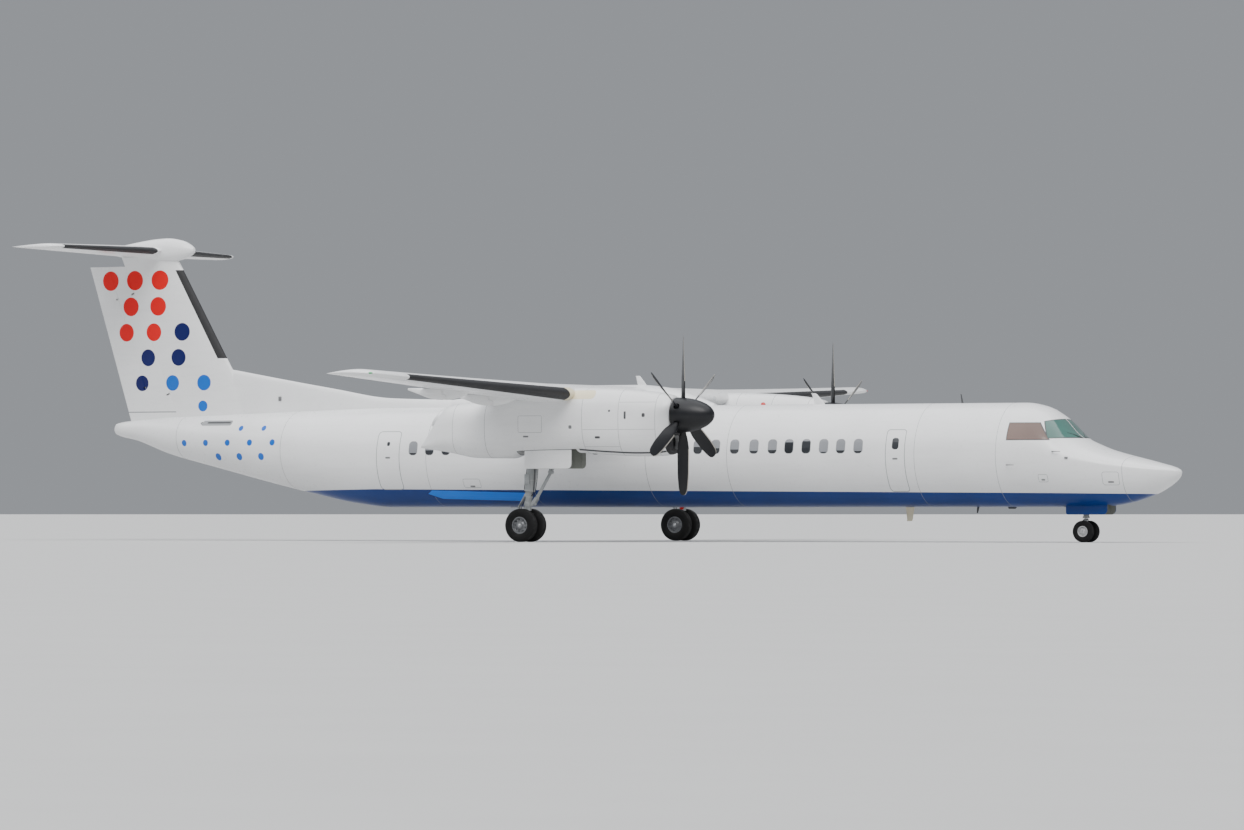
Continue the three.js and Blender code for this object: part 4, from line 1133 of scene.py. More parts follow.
def wheel(name, tyre, place, rides_on, node, finish):
    """A tyre, a rim and its bolts. A star in the names stands for what they are."""
    rim, half = tyre.rim, 0.37 * tyre.width
    bolt = rod((rim * 0.68, -half * 0.62, 0), (rim * 0.68, half * 0.62, 0), rim * 0.035, sides=6)
    hole = rod((rim * 0.7, -half * 2, 0), (rim * 0.7, half * 2, 0), rim * 0.085, sides=20)
    hub = combined("DIFFERENCE", rim_shape(tyre), *around(hole, BOLTS, math.pi / BOLTS))
    parts = [
        ("rubber", tyre_shape(tyre), "tyre_rubber", node.replace("*", "tyre"), 40),
        ("hub", hub, finish, node.replace("*", "rim"), 30),
        ("bolts", gathered(around(bolt, BOLTS)), "gear_steel", "", 30),
    ]
    for label, shape, material, replaced, sharp in parts:
        piece(name.replace("*", label), shape.shifted(*place), material, None, replaced, rides_on, sharp)


for side, sign in SIDES:
    for label, out in (("outer", 1), ("inner", -1)):
        place = (0, sign * (HALF_TRACK + out * MAIN_TYRE.offset), MAIN_TYRE.radius)
        name = f"main_{side}_*_{label}"
        wheel(name, MAIN_TYRE, place, f"main_wheels_{side}", name, "rim_metal")
    place = (WHEELBASE, sign * NOSE_TYRE.offset, NOSE_TYRE.radius)
    wheel(f"nose_wheel_*_{side}", NOSE_TYRE, place, "nose_wheels", f"nose_*_{side}", "rim_pale")

# Landing gear

# Shares are of the way from the axle to the leg's top
OLEO = Values(outer=92, piston=58, start=0.17, collar=135, collar_start=0.38, strut=0.24)
STRUT = Values(radius=42, eye=48, out=160, cross=45)
TORQUE_LINK = Values(out=260, low=0.2, high=0.34)
BRAKE = Values(radius=188, low=67, high=137, cups=6)
GEAR_DOOR = Values(outer_front=1520, inner_front=1600, back=150, low=1900, high=2420, thick=24)
SEAT = GEAR_BAY.half - SEATED


def vec(x=0, y=0, z=0):
    return Vector((x, y, z))


axle_centre = vec(0, HALF_TRACK, MAIN_TYRE.radius)
leg_top = vec(300, HALF_TRACK, GEAR_BAY.top - 160)
strut_head = vec(1250, HALF_TRACK, 2640)


def leg_point(t, x=0, y=0, z=0):
    return axle_centre.lerp(leg_top, t) + vec(x, y, z)


strut_foot = leg_point(OLEO.strut, x=STRUT.out)
link_tip = leg_point(TORQUE_LINK.low, x=-TORQUE_LINK.out)


def ringed(rings, radius):
    """A profile of a share and a radius that rises to each ring: first share, last share, radius."""
    return [pair for start, stop, high in rings
            for pair in ((start, radius), (start, high), (stop, high), (stop, radius))]


def bar_at(a, b, ra, rb, half, middle=HALF_TRACK):
    """A flat bar with round ends between two points, about a plane along the aircraft."""
    return prism(link((a.x, a.z), (b.x, b.z), ra, rb), middle - half, middle + half)


def axle_beam(centre, reach, radius, hub, tip, bevel):
    """A round beam along Y with thinner ends. bevel is the share of its length that its ends taper."""
    profile = [(0, tip), (bevel, hub), (0.04, hub), (0.04, radius)]
    profile += [(1 - share, r) for share, r in reversed(profile)]
    return stepped(centre - vec(y=reach), centre + vec(y=reach), profile, sides=48)


def main_leg():
    cylinder = stepped(leg_point(OLEO.start), leg_top, [
        (0, 104), (0.03, 104), (0.03, OLEO.outer),
        *ringed([(0.06, 0.115, 108), (0.17, 0.19, 100)], OLEO.outer), (1, OLEO.outer)])
    collar = stepped(leg_point(OLEO.collar_start), leg_top, [
        (0, 128), (0.008, 143), (0.04, 143), (0.04, OLEO.collar),
        *ringed([(0.2, 0.22, 141), (0.5, 0.56, 145)], OLEO.collar), (1, OLEO.collar)])
    ends = [across(leg_top + vec(y=y), 30, 84) for y in (-SEAT + 40, SEAT - 40)]
    arm = bar_at(leg_point(OLEO.strut), strut_foot, 70, STRUT.eye, 60) - across(strut_foot, 70, 20)
    cheek = bar_at(leg_point(0.34, x=-60), leg_point(0.4), 34, 60, 88)
    box_side = box((40, HALF_TRACK + 90, 1500), (190, HALF_TRACK + 165, 1760))
    return united(cylinder, collar, across(leg_top, SEAT, 60), *ends, arm, cheek, softened(box_side, 12))


def torque_links():
    high = leg_point(TORQUE_LINK.high, x=-90)
    bars = []
    for sign in (-1, 1):
        for root, drop in ((high + vec(y=sign * 66), 26), (axle_centre + vec(-40, sign * 66, 40), 0)):
            bars.append(rod(root, link_tip + vec(0, sign * 16, drop), 22, 16, sides=16))
    webs = [across(root.lerp(link_tip, 0.45) + vec(x, 0, z), 46, 12, 12)
            for root, x, z in ((high, 0, 12), (axle_centre, -20, 20))]
    return united(*bars, *webs, across(link_tip + vec(z=12), 42, 24, 20), across(high, 86, 24, 20))


def main_axle():
    beam = axle_beam(axle_centre, MAIN_TYRE.offset + 130, MAIN_TYRE.axle, 38, 30, 0.01)
    piston = rod(axle_centre, leg_point(OLEO.start + 0.02), OLEO.piston, sides=48)
    fork = stepped(axle_centre, leg_point(0.07), [(0, 82), (0.8, 78), (1, 62)])
    lug = across(axle_centre + vec(-30, 0, 40), 90, 30)
    return united(beam, piston, fork, across(axle_centre, 95, 80), lug)


def brakes():
    low, high, radius = BRAKE.low, BRAKE.high, BRAKE.radius
    profile = [(60, low), (radius - 34, low), (radius - 30, low + 18)]
    profile += [(radius, low + 18), (radius, low + 30), (radius - 6, low + 30), (radius - 6, low + 38)]
    profile += [(radius, low + 38), (radius, high - 6), (radius - 8, high), (60, high)]
    turns = [(i + 0.5) / BRAKE.cups * 2 * math.pi for i in range(BRAKE.cups)]
    cups = [across(axle_centre + vec(125 * math.cos(t), low, 125 * math.sin(t)), 22, 27, 20) for t in turns]
    drum = united(turned(profile, sides=64, centre=axle_centre), *cups)
    return gathered([drum.shifted(y=-HALF_TRACK).sided(-1).shifted(y=HALF_TRACK), drum])


# The hoses' ways down the leg. Columns: share, then shifts forward and to the side
SIDE_HOSE = [(0.9, 60, 140), (0.6, 130, 80), (0.42, 140, 60), (0.34, 108, 40), (0.26, -96, 62),
             (0.16, -150, 80), (0.08, -120, 84)]
REAR_HOSE = [(0.95, -150, 0), (0.7, -148, 20), (0.42, -150, 30), (0.35, -112, 20), (0.2, -104, 0)]


def curve_through(points, steps=5):
    """Points on a smooth curve through the given ones."""
    ends = [points[0] * 2 - points[1], *points, points[-1] * 2 - points[-2]]
    curve = []
    for a, b, c, d in zip(ends, ends[1:], ends[2:], ends[3:]):
        for t in (i / steps for i in range(steps)):
            square, cube = 2 * a - 5 * b + 4 * c - d, 3 * b - a - 3 * c + d
            curve.append(0.5 * (2 * b + (c - a) * t + square * t**2 + cube * t**3))
    return [*curve, points[-1]]


def gear_hoses():
    runs = [[leg_point(t, x, sign * y) for t, x, y in SIDE_HOSE] + [axle_centre + vec(-120, sign * 60, 40)]
            for sign in (-1, 1)]
    runs.append([leg_point(*shift) for shift in REAR_HOSE])
    return gathered([pipe(curve_through(points), 9, sides=8) for points in runs])


def drag_strut():
    along = (strut_head - strut_foot).normalized()
    profile = [(0, 36), (0.05, 36), (0.07, STRUT.radius)]
    profile += [*ringed([(0.1, 0.13, 48), (0.62, 0.66, 48)], STRUT.radius), (1, STRUT.radius)]
    bar = stepped(strut_foot, strut_head, profile)
    bar = bar - across(strut_foot, 130, STRUT.eye + SEATED)
    far = strut_foot + along * 170
    cheeks = [bar_at(strut_foot, far, 42, 34, 10.75, HALF_TRACK + sign * 71.25) for sign in (-1, 1)]
    near = Values(x=far.x - along.x * 40, z=far.z - along.z * 40)
    yoke = bar_at(near, far, 32, 34, 82)
    middle = strut_foot.lerp(strut_head, 0.5)
    lock = rod(middle + vec(-30, 0, 20), vec(560, HALF_TRACK, GEAR_BAY.top - 4), 20, sides=16)
    return united(bar, *cheeks, yoke, across(middle, 62, 56), across(strut_head, SEAT, STRUT.cross),
                  across(strut_head, 90, 66), lock, across(strut_foot, 92, 18, 16))


def panel(outline, wall, thick, inward):
    """A door's plate along Y, with stiffeners on its inner side. inward is the way to that side."""
    plate = prism(outline, *sorted((wall, wall + inward * thick)))
    (back, front), (low, high) = ((min(places), max(places)) for places in zip(*outline))
    near, far = sorted((wall, wall + inward * (thick + 22)))
    places = [back + (front - back) * (0.1 + 0.2 * i) for i in range(5)]
    ribs = [box((x - 9, near, low + 60), (x + 9, far, high - 20)) for x in places]
    rail = box((back + 60, near, high - 60), (front - 60, far, high - 40))
    return united(softened(plate, 3, 1), *ribs, rail)


def gear_door_faces(middles, normals):
    y = middles[:, 1]
    towards_leg = normals[:, 1] * np.sign(y) * np.sign(np.abs(y) - HALF_TRACK) < -0.5
    edge = np.abs(np.abs(y) - HALF_TRACK) < SEAT - GEAR_DOOR.thick + 0.5
    return np.where(towards_leg | edge, 1, 0)


def gear_door(front, sign):
    outline = rounded_below(GEAR_DOOR.back, front, GEAR_DOOR.low, GEAR_DOOR.high, 70, 120)
    return panel(outline, HALF_TRACK + sign * SEAT, GEAR_DOOR.thick, -sign)


# The gear doors' inner faces and edges take the darker primer, which is partly painted shade
DOOR_FINISH = "white_paint bay_primer", gear_door_faces
# The legs, links and struts take gear_paint, whose darker grey is partly painted shade
paired([
    ("main_leg_*", main_leg(), "gear_paint", None, "main_leg_*", "airframe", 35),
    ("main_axle_*", main_axle(), "gear_steel", None, "main_axle_*", "airframe", 35),
    ("main_torque_links_*", torque_links(), "gear_paint", None, "", "airframe", 35),
    ("main_brakes_*", brakes(), "engine_metal", None, "", "airframe", 35),
    ("main_hoses_*", gear_hoses(), "hose", None, "", "airframe", 35),
    ("main_strut_*", drag_strut(), "gear_paint", None, "main_drag_strut_*", "airframe", 35),
    ("main_door_outer_*", gear_door(GEAR_DOOR.outer_front, 1), *DOOR_FINISH, "gear_door_outer_*"),
    ("main_door_inner_*", gear_door(GEAR_DOOR.inner_front, -1), *DOOR_FINISH, "gear_door_inner_*"),
])
for side, _ in SIDES:
    engine_slots = frame["nodes"][f"engine_{side}"].data.materials
    engine_slots.clear()
    engine_slots.append(MATERIALS["engine_metal"])

NOSE_LEG = Values(low=620, radius=75, piston=48, piston_top=1060)
NOSE_STRUT = Values(foot=980, head=BELLY_Z + 480, radius=32)
NOSE_DOOR = Values(low=BELLY_Z - 190, high=BELLY_Z + 180, thick=20, front=14650, back=13500)
nose_axle = vec(WHEELBASE, 0, NOSE_TYRE.radius)


def above(z, x=0, y=0):
    """A point by its height and its shifts from the nose leg's line."""
    return vec(WHEELBASE + x, y, z)


def upright(low, high, radius, sides=48):
    return rod(above(low), above(high), radius, sides=sides)


def nose_leg():
    rings = ringed([(0.12, 0.2, 96), (0.3, 0.32, 84), (0.52, 0.6, 90)], NOSE_LEG.radius)
    cylinder = stepped(above(NOSE_LEG.low), above(NOSE_BAY.top - SEATED), [
        (0, 92), (0.05, 92), (0.05, NOSE_LEG.radius), *rings, (1, NOSE_LEG.radius)])
    trunnion = across(above(1380), NOSE_BAY.half - 4, 38)
    unit = softened(box((WHEELBASE + 60, -60, 1150), (WHEELBASE + 130, 60, 1290)), 10)
    room = upright(500, 1100, NOSE_LEG.piston + 0.6)
    return united(cylinder, trunnion, across(above(762, -86), 74, 34), unit) - room


def nose_piston():
    beam = axle_beam(nose_axle, NOSE_TYRE.offset + 85, NOSE_TYRE.axle, 26, 20, 0.012)
    piston = rod(nose_axle, above(NOSE_LEG.piston_top), NOSE_LEG.piston, sides=48)
    collar = stepped(nose_axle, above(430), [(0, 60), (0.7, 60), (1, 50)])
    return united(beam, piston, collar, across(nose_axle, 80, 55))


def nose_links():
    """Torque links behind the nose leg, between its turning collar and its axle."""
    tip = above(470, -190)
    bars = [rod(above(z, x, sign * 44), tip + vec(y=sign * 10), 14, 10, sides=12)
            for sign in (-1, 1) for z, x in ((575, -50), (330, -44))]
    pins = [across(above(z, x), 54, 16, 16) for z, x in ((575, -52), (330, -46))]
    ring = upright(560, 604, 64, 32) - upright(550, 610, NOSE_LEG.piston + 0.5)
    return united(*bars, across(tip, 26, 15, 16), *pins, ring)


def nose_strut():
    head = above(NOSE_STRUT.head + 30, NOSE_BAY.back - 60 - WHEELBASE)
    bar = rod(above(NOSE_STRUT.foot, -20), head, NOSE_STRUT.radius)
    wall = box((0, -FAR, 0), (NOSE_BAY.back + SEATED, FAR, FAR))
    return united(bar, across(above(NOSE_STRUT.foot + 10, -100), 60, 44)) - upright(500, 1600, 96.3) - wall


def taxi_lamp():
    shell = turned([(20, -60), (52, -52), (70, -10), (74, 0), (66, 0), (60, -8)], sides=40, axis="x")
    return shell.shifted(WHEELBASE + 150, 0, 1010) + rod(above(1010, 70), above(1010, 104), 18)


# The nose leg, its links and its strut take gear_paint, whose darker grey is partly painted shade
piece("nose_leg_housing", nose_leg(), "gear_paint", replaces="nose_leg", sharp=35)
piece("nose_piston", nose_piston(), "gear_steel", None, "nose_axle", "nose_steering", 35)
piece("nose_torque_links", nose_links(), "gear_paint", None, "", "nose_steering", 35)
piece("nose_strut", nose_strut(), "gear_paint", replaces="nose_drag_strut", sharp=35)
piece("taxi_lamp_shell", taxi_lamp(), "gear_steel")
piece("taxi_lamp_lens", dome(above(1010, 146), (12, 62, 62)), "lamp_white")


def nose_door_faces(middles, normals):
    inner = np.abs(middles[:, 1]) < NOSE_BAY.half - SEATED - NOSE_DOOR.thick + 0.5
    return np.where(inner, 1, 0)


outline = rounded_below(NOSE_DOOR.back, NOSE_DOOR.front, NOSE_DOOR.low, NOSE_DOOR.high, 60, 130)
nose_door = panel(outline, NOSE_BAY.half - SEATED, NOSE_DOOR.thick, -1)
# The nose doors' inner faces take the darker primer, which is partly painted shade
paired([("nose_bay_door_*", nose_door, "blue_paint bay_primer", nose_door_faces, "nose_door_*")])

# Marks on the skins: thin shells over them, cut to outlines seen from the side


def over_skin(lift, depth=4.0):
    start, stop = FUSELAGE[0][0] + 100, NOSE_X - 100
    return fuselage(start, stop, lift) - fuselage(start - 10, stop + 10, -depth)


def mark(name, cutters, lift, finish, rides_on="airframe"):
    """Makes thin shells on the fuselage, where the cutters cross it, a piece. The cutters don't touch."""
    piece(name, over_skin(lift) & gathered(cutters), finish, rides_on=rides_on)


def port(x, height, width, tall, radius):
    """A rectangle with round corners about a height from the belly."""
    return rounded(x, BELLY_Z + height, width, tall, radius)


WINDOW = Values(h=1580, z=BELLY_Z + 1580, width=245, height=360, radius=95, pitch=503, more=17)
WINDOWS = [8099, 7596, 7106, 6601, 6105, 5625, 5089, 4525, 3966, 3451]
WINDOWS += [WINDOWS[-1] - WINDOW.pitch * (i + 1) for i in range(WINDOW.more)]
# The share of each window's height that its blind covers, in turn from the front
BLINDS = (0.85, 0.8, 0.9, 0.12, 0.2, 0.75, 0.8, 0.7, 0.6, 0.5, 0.15, 0.12, 0.65)


def window(x, grow):
    return port(x, WINDOW.h, WINDOW.width + grow, WINDOW.height + grow, WINDOW.radius + grow / 2)


blinds = []
for i, x in enumerate(WINDOWS):
    top = WINDOW.z + WINDOW.height / 2
    low = top - WINDOW.height * BLINDS[i % len(BLINDS)]
    blinds.append(prism(window(x, -2)) & box((x - 200, -FAR, low), (x + 200, FAR, top)))
mark("cabin_panes", [prism(window(x, -1)) for x in WINDOWS], 0.8, "window_dark")
mark("cabin_blinds", blinds, 1.2, "blind")
mark("cabin_window_rims", [band(window(x, 20), 10) for x in WINDOWS], 1.6, "seam")

# Doors and hatches. Columns: station, width, low, high, corner radius, sides, window, handle
HATCHES = [
    (9158, 560, 400, 2010, 90, RIGHT, (1640, 190, 300), 1250),
    (-5869, 715, 470, 2040, 110, RIGHT, (1700, 90, 110), 1330),
    (-5869, 760, 480, 2060, 110, LEFT, (1620, 190, 300), 1250),
    (-8000, 1270, 700, 2250, 120, LEFT, None, 1250),
    (15020, 420, 560, 900, 60, BOTH, None, 640),
    (13260, 260, 640, 840, 40, RIGHT, None, 700),
    (-3400, 520, 520, 760, 50, RIGHT, None, 560),
]
seams, small_panes, handles = [], [], []
for x, width, low, high, radius, reach, pane, handle in HATCHES:
    outline = port(x, (low + high) / 2, width, high - low, radius)
    seams.append(band(outline, 18 if high - low > 600 else 10, *reach))
    if pane:
        small_panes.append(prism(port(x, *pane, pane[1] * 0.38), *reach))
    handles.append(prism(port(x, handle, min(150, width * 0.4), 44, 20), *reach))
mark("door_seams", seams, 1.0, "seam")
mark("door_panes", small_panes, 0.8, "window_dark")
mark("door_handles", handles, 3.0, "vent_grey")


def around_door(grow, radius):
    return rounded(DOOR.x, DOOR.sill + DOOR.height / 2, DOOR.width + grow, DOOR.height + grow, radius)


# The frame leaves the sill free, where the opening door passes
below_sill = box((0, -10, 0), (FAR * 3, FAR + 10, DOOR.sill + 60))
door_frame = prism(around_door(90, 60), *LEFT) - prism(around_door(4, 6), -10, FAR + 10) - below_sill
mark("entrance_frame", [door_frame], 1.6, "bare_metal")
handle = prism(port(DOOR.x + 210, 1180, 170, 54, 24), *LEFT)
mark("airstair_handle", [handle], 3.0, "vent_grey", "airstair_door")

PATCH = [(x, BELLY_Z + h) for x, h in ((-4895, 360), (-4700, 470), (-1728, 400), (-1900, 150), (-4500, 215))]
mark("belly_patch", [prism(PATCH)], 0.8, "light_blue_paint")
mark("belly_patch_edge", [band(PATCH, 14)], 1.4, "navy_paint")

# The rings where the fuselage's sections meet
SECTION_SEAMS = (15310, 12000, 9700, 4300, 1900, -1600, -4700, -9300, -12900)
mark("section_seams", [box((x - 5, -FAR, 0), (x + 5, FAR, FAR)) for x in SECTION_SEAMS], 0.6, "seam")

# Cockpit windows, heights from the belly
SIDE_WINDOW = [(12290, 1730), (12290, 2150), (13066, 2150), (13393, 1730)]
WINDSHIELD = [(13160, 2190), (13540, 2290), (13950, 1790), (13370, 1770)]


def cockpit(outline, low, grow=0):
    """The outline on both sides of the cockpit, from a distance to its middle outwards."""
    outline = [tuple(point) for point in inset(outline, -grow)] if grow else outline
    outline = [(x, BELLY_Z + z) for x, z in outline]
    return [prism(outline, *ends) for ends in ((low, FAR), (-FAR, -low))]


frames = united(*cockpit(SIDE_WINDOW, 200, 20), *cockpit(WINDSHIELD, 15, 20))
piece("cockpit_frames", over_skin(0.7) & frames, "seal")
mark("cockpit_side_panes", cockpit(SIDE_WINDOW, 200), 1.8, "side_window")
mark("windshield_panes", cockpit(WINDSHIELD, 35), 1.8, "windshield")


def skin_top(x, y, lift=0.0):
    """The point of the fuselage's upper side at a station and a span."""
    _, _, middle, top, half = smooth_rows(FUSELAGE, [x])[0]
    return vec(x, y, BELLY_Z + middle + (top - middle) * math.sqrt(1 - (y / half) ** 2) + lift)


def skin_side(x, h, sign=1, lift=0.0):
    """The point of the fuselage's side at a station and a height from the belly."""
    return vec(x, sign * (half_width(x, BELLY_Z + h) + lift), BELLY_Z + h)


wipers = []
for sign in (-1, 1):
    for lift, radius, places in ((16, 9, ((13905, 90), (13840, 180), (13740, 330))),
                                 (7, 6, ((13840, 130), (13740, 330), (13640, 520)))):
        wipers.append(pipe([skin_top(x, sign * y, lift) for x, y in places], radius, 8))
piece("wipers", gathered(wipers), "seal")

# Antennas: station, root chord, tip chord, height above the surface, sweep, finish. Negative
# heights are below the belly.
ANTENNAS = [
    (6510, 300, 150, 290, 260, "white_paint"),
    (10488, 60, 30, 240, 60, "seal"),
    (1250, 260, 130, 240, 200, "white_paint"),
    (9086, 250, 160, -360, 60, "cream_paint"),
    (10937, 70, 40, -150, 40, "seal"),
    (12000, 260, 200, -40, 40, "seal"),
    (-2600, 240, 130, -230, 150, "white_paint"),
]
for i, (x, root, tip, height, sweep, finish) in enumerate(ANTENNAS):
    z = skin_top(x - root, 0).z if height > 0 else BELLY_Z
    if height > 0 and x < 3000:
        z = BELLY_Z + smooth_rows(WING_FAIRING, [x - root])[0][3]
    near = x - sweep * 0.9
    levels = [(z - math.copysign(40, height), x, x - root, 0.16), (z, x, x - root, 0.14)]
    levels += [(z + height * 0.9, near, near - tip, 0.13)]
    levels += [(z + height, x - sweep * 1.1, x - sweep - tip, 0.08)]
    piece(f"antenna_{i + 1}", loft([fin_ring(row) for row in levels]), finish)

PROBE = ((0, -10), (0, 60), (70, 92), (220, 92))
VANE = Values(x=13900, h=1260)
probes = [pipe([skin_side(x + dx, h, sign, lift) for dx, lift in PROBE], [16, 14, 12, 8])
          for x, h in ((12320, 1080), (13560, 1420)) for sign in (-1, 1)]
for sign in (-1, 1):
    y = half_width(VANE.x, BELLY_Z + VANE.h) * sign
    vane = box((VANE.x - 20, y - 30, BELLY_Z + VANE.h - 24), (VANE.x + 60, y + 60, BELLY_Z + VANE.h + 24))
    probes.append(softened(vane, 8))
piece("probes", gathered(probes), "vent_grey")

# Lamps and beacons. Columns: name, material, middles, radii
LAMPS = [
    ("beacons", "lamp_red", [((4700, 0, BELLY_Z + 2690), (70, 45, 70)), ((2300, 0, BELLY_Z), (70, 45, 60))]),
    ("tail_lamp", "lamp_white", [((-15570, 0, TAILPLANE_Z), (60, 34, 34))]),
    ("port_lamp", "lamp_red", [((900, 14100, WING_Z + 398), (70, 60, 26))]),
    ("starboard_lamp", "lamp_green", [((900, -14100, WING_Z + 398), (70, 60, 26))]),
    ("landing_lamps", "lamp_white", [((1676, y, WING_Z + 10), (36, 130, 60)) for y in (-3100, 3100)]),
]
for name, finish, lenses in LAMPS:
    piece(name, gathered([dome(*lens) for lens in lenses]), finish)

# The vent on the right side of the rear fuselage, with a lip at its rear end
VENT = Values(x=-11603, h=2300, length=1000, height=140)
slot = port(VENT.x + 60, VENT.h + 12, VENT.length * 0.78, 44, 20)
mark("rear_vent", [prism(port(VENT.x, VENT.h, VENT.length, VENT.height, 50), *RIGHT)], 1.4, "seam")
mark("rear_vent_slot", [prism(slot, *RIGHT)], 2.4, "seal")
# A fitting on the right of the dorsal ridge: its lowest and its highest corner
RIDGE_FITTING = (-9990, -135, 3800), (-9900, -95, 3920)
piece("ridge_fitting", softened(box(*RIDGE_FITTING), 14), "vent_grey")
vent_end = VENT.x - VENT.length / 2
lip = [skin_side(vent_end + dx, VENT.h + dz, -1, 14) for dx, dz in ((0, -26), (-40, 0), (0, 26))]
piece("rear_vent_lip", pipe(lip, 14, 10), "vent_grey")

# Round spots on the tail: height from the belly, radius, and the shares of the chord of each finish
SPOTS = [
    (6250, 270, [(0.27, "red_paint"), (0.54, "red_paint"), (0.81, "red_paint")]),
    (5530, 258, [(0.4, "red_paint"), (0.68, "red_paint")]),
    (4820, 245, [(0.27, "navy_paint"), (0.54, "red_paint"), (0.81, "red_paint")]),
    (4120, 232, [(0.4, "navy_paint"), (0.68, "navy_paint")]),
    (3420, 215, [(0.27, "pale_blue_paint"), (0.54, "pale_blue_paint"), (0.81, "navy_paint")]),
    (2780, 150, [(0.36, "pale_blue_paint")]),
]
PROUD = 1.2
spots = {}
for height, radius, row in SPOTS:
    for share, finish in row:
        (x, _, z), _ = fin_point(height, share)
        spots.setdefault(finish, []).append(prism(disc(x, z, radius)))
for finish, cutters in spots.items():
    marks = fin_skin(PROUD) & gathered(cutters)
    on_fin, on_rudder = rudder_split(marks, marks, *FORE, PROUD)
    on_fore, on_trailing = rudder_split(on_rudder, on_rudder, *TRAILING, PROUD)
    for carrier, shape in (("airframe", on_fin), ("fore_rudder", on_fore), ("trailing_rudder", on_trailing)):
        if len(shape.mesh.polygons):
            piece(f"spots_{finish}_{carrier}", shape, finish, rides_on=carrier)

# Smaller spots on the rear fuselage: height, first station, pitch, count, radius
SMALL_SPOTS = [(2150, -9960, 760, 2, 72), (1760, -9580, 760, 5, 86), (1380, -9960, 760, 3, 98)]
small = [prism(disc(first - i * pitch, BELLY_Z + h, radius))
         for h, first, pitch, count, radius in SMALL_SPOTS for i in range(count)]
mark("small_spots", small, 1.0, "pale_blue_paint")

# Nacelle details on the left side: hatch seams, vents, the intake's rubber lip and the jet pipe

OUTBOARD = (HALF_TRACK, FAR * 2)
# Stations of the seams round the cowl and the nacelle
COWL_RINGS, NACELLE_RINGS = (1970, 3016, 4060), (-900, -1900)
# Seams along the cowl: two stations and a height from the belly
COWL_LINES = ((1985, 3000, 2000), (3030, 4050, 2000), (3030, 4050, 2700), (1985, 3000, 1560))
# Vents: station, height from the belly, width, height, corner radius, reach
COWL_VENTS = [
    (3210, 2366, 60, 200, 24, OUTBOARD),
    (3735, 2366, 90, 100, 30, OUTBOARD),
    (2400, 1800, 150, 60, 26, LEFT_SIDE),
    (2760, 2480, 60, 60, 29, LEFT_SIDE),
]
NACELLE_VENTS = [(312, 1830, 160, 44, 20, OUTBOARD), (1630, 2070, 90, 90, 24, OUTBOARD)]
NACELLE_HATCH = (450, 2150, 700, 440, 40)
BAY_SEAL = 16
BAY_EDGE = SEAT + BAY_SEAL


def engine_shell(table, start, stop, lift, depth=3.0):
    return engine_body(table, start, stop, lift) - engine_body(table, start - 10, stop + 10, -depth)


def vents(rows):
    return gathered([prism(port(*place), *reach) for *place, reach in rows])


def tube_faces(middles, normals):
    radius = np.hypot(np.abs(middles[:, 1]) - HALF_TRACK, middles[:, 2] - JET_PIPE.z)
    return np.where(radius > JET_PIPE.radius - 4, 1, 0)


def underside_shade_strip(table, start, stop, rise, height):
    """A strip at a height above a body's lowest line, seen from the side."""
    low = [(row[0], BELLY_Z + row[1] + rise) for row in smooth_rows(table, stations(table, start, stop))]
    return prism(low + [(x, z + height) for x, z in reversed(low)], *LEFT_SIDE)


cowl_room = centre_skin(6)
cowl_lines = [box((x - 5, 0, 0), (x + 5, FAR * 2, FAR)) for x in COWL_RINGS]
cowl_lines += [box((a, 0, BELLY_Z + z - 4), (b, FAR * 2, BELLY_Z + z + 4)) for a, b, z in COWL_LINES]
nacelle_lines = [prism([(x - 5, 0), (x + 5, 0), (x + 5, FAR), (x - 5, FAR)], *LEFT_SIDE)
                 for x in NACELLE_RINGS]
nacelle_lines.append(band(port(*NACELLE_HATCH), 8, *OUTBOARD))
bay_back, bay_front = GEAR_BAY.back - BAY_SEAL, GEAR_BAY.front + BAY_SEAL
bay_outline = [(bay_back, HALF_TRACK - BAY_EDGE), (bay_front, HALF_TRACK - BAY_EDGE),
               (bay_front, HALF_TRACK + BAY_EDGE), (bay_back, HALF_TRACK + BAY_EDGE)]
bay_edge = plan(bay_outline, 0, 2600) - box(*gear_bay)
intake_lip = intake(COWL_FRONT - 30, COWL_FRONT + 62, 72) - intake(COWL_FRONT - 60, COWL_FRONT + 90, -6)
lip_band = box((4260, 0, BELLY_Z + 1300), (COWL_FRONT + 80, FAR * 2, BELLY_Z + 1925))

JET = Values(x=JET_PIPE.x - 170, outer=JET_PIPE.radius - 1, inner=JET_PIPE.radius - 14,
             deep=JET_PIPE.depth + 160)
tube = turned([(JET.outer, 0), (JET.outer, JET.deep), (40, JET.deep), (40, JET.deep - 30),
               (JET.inner - 6, JET.deep - 30), (JET.inner, 0)], sides=64, closed=True,
              centre=(JET.x, HALF_TRACK, JET_PIPE.z), axis="x")
# The pipe's end is cut along the slope of the nacelle's rear end
tube = tube - prism([(-3400, BELLY_Z + 1274), (-2280, BELLY_Z + 2754), (-3400, BELLY_Z + 2754)], *LEFT_SIDE)

# The cream cuff between the wing's boot and the outboard side of the nacelle
CUFF = Values(x=1895, h=WING_Z - 5 - BELLY_Z, length=790, height=230, radius=105, start=4800, stop=5118)
cuff_room = prism(port(CUFF.x, CUFF.h, CUFF.length, CUFF.height, CUFF.radius), *OUTBOARD)
cuff = wing_between(CUFF.start, CUFF.stop, 1.6) - wing_between(CUFF.start - 10, CUFF.stop + 10, -2)
cuff = cuff & box((CUFF.x - CUFF.length / 2, 0, 0), (2000, FAR * 2, FAR))
cuff_patches = [(engine_shell(*part, 1.6) & cuff_room) - centre_skin(1.0)
                for part in ((NACELLE, 1400, COWL_JOINT), (COWL, COWL_JOINT, 2400))]


def cowl_shell(lift):
    return engine_shell(COWL, COWL_JOINT + 10, COWL_FRONT - 10, lift)


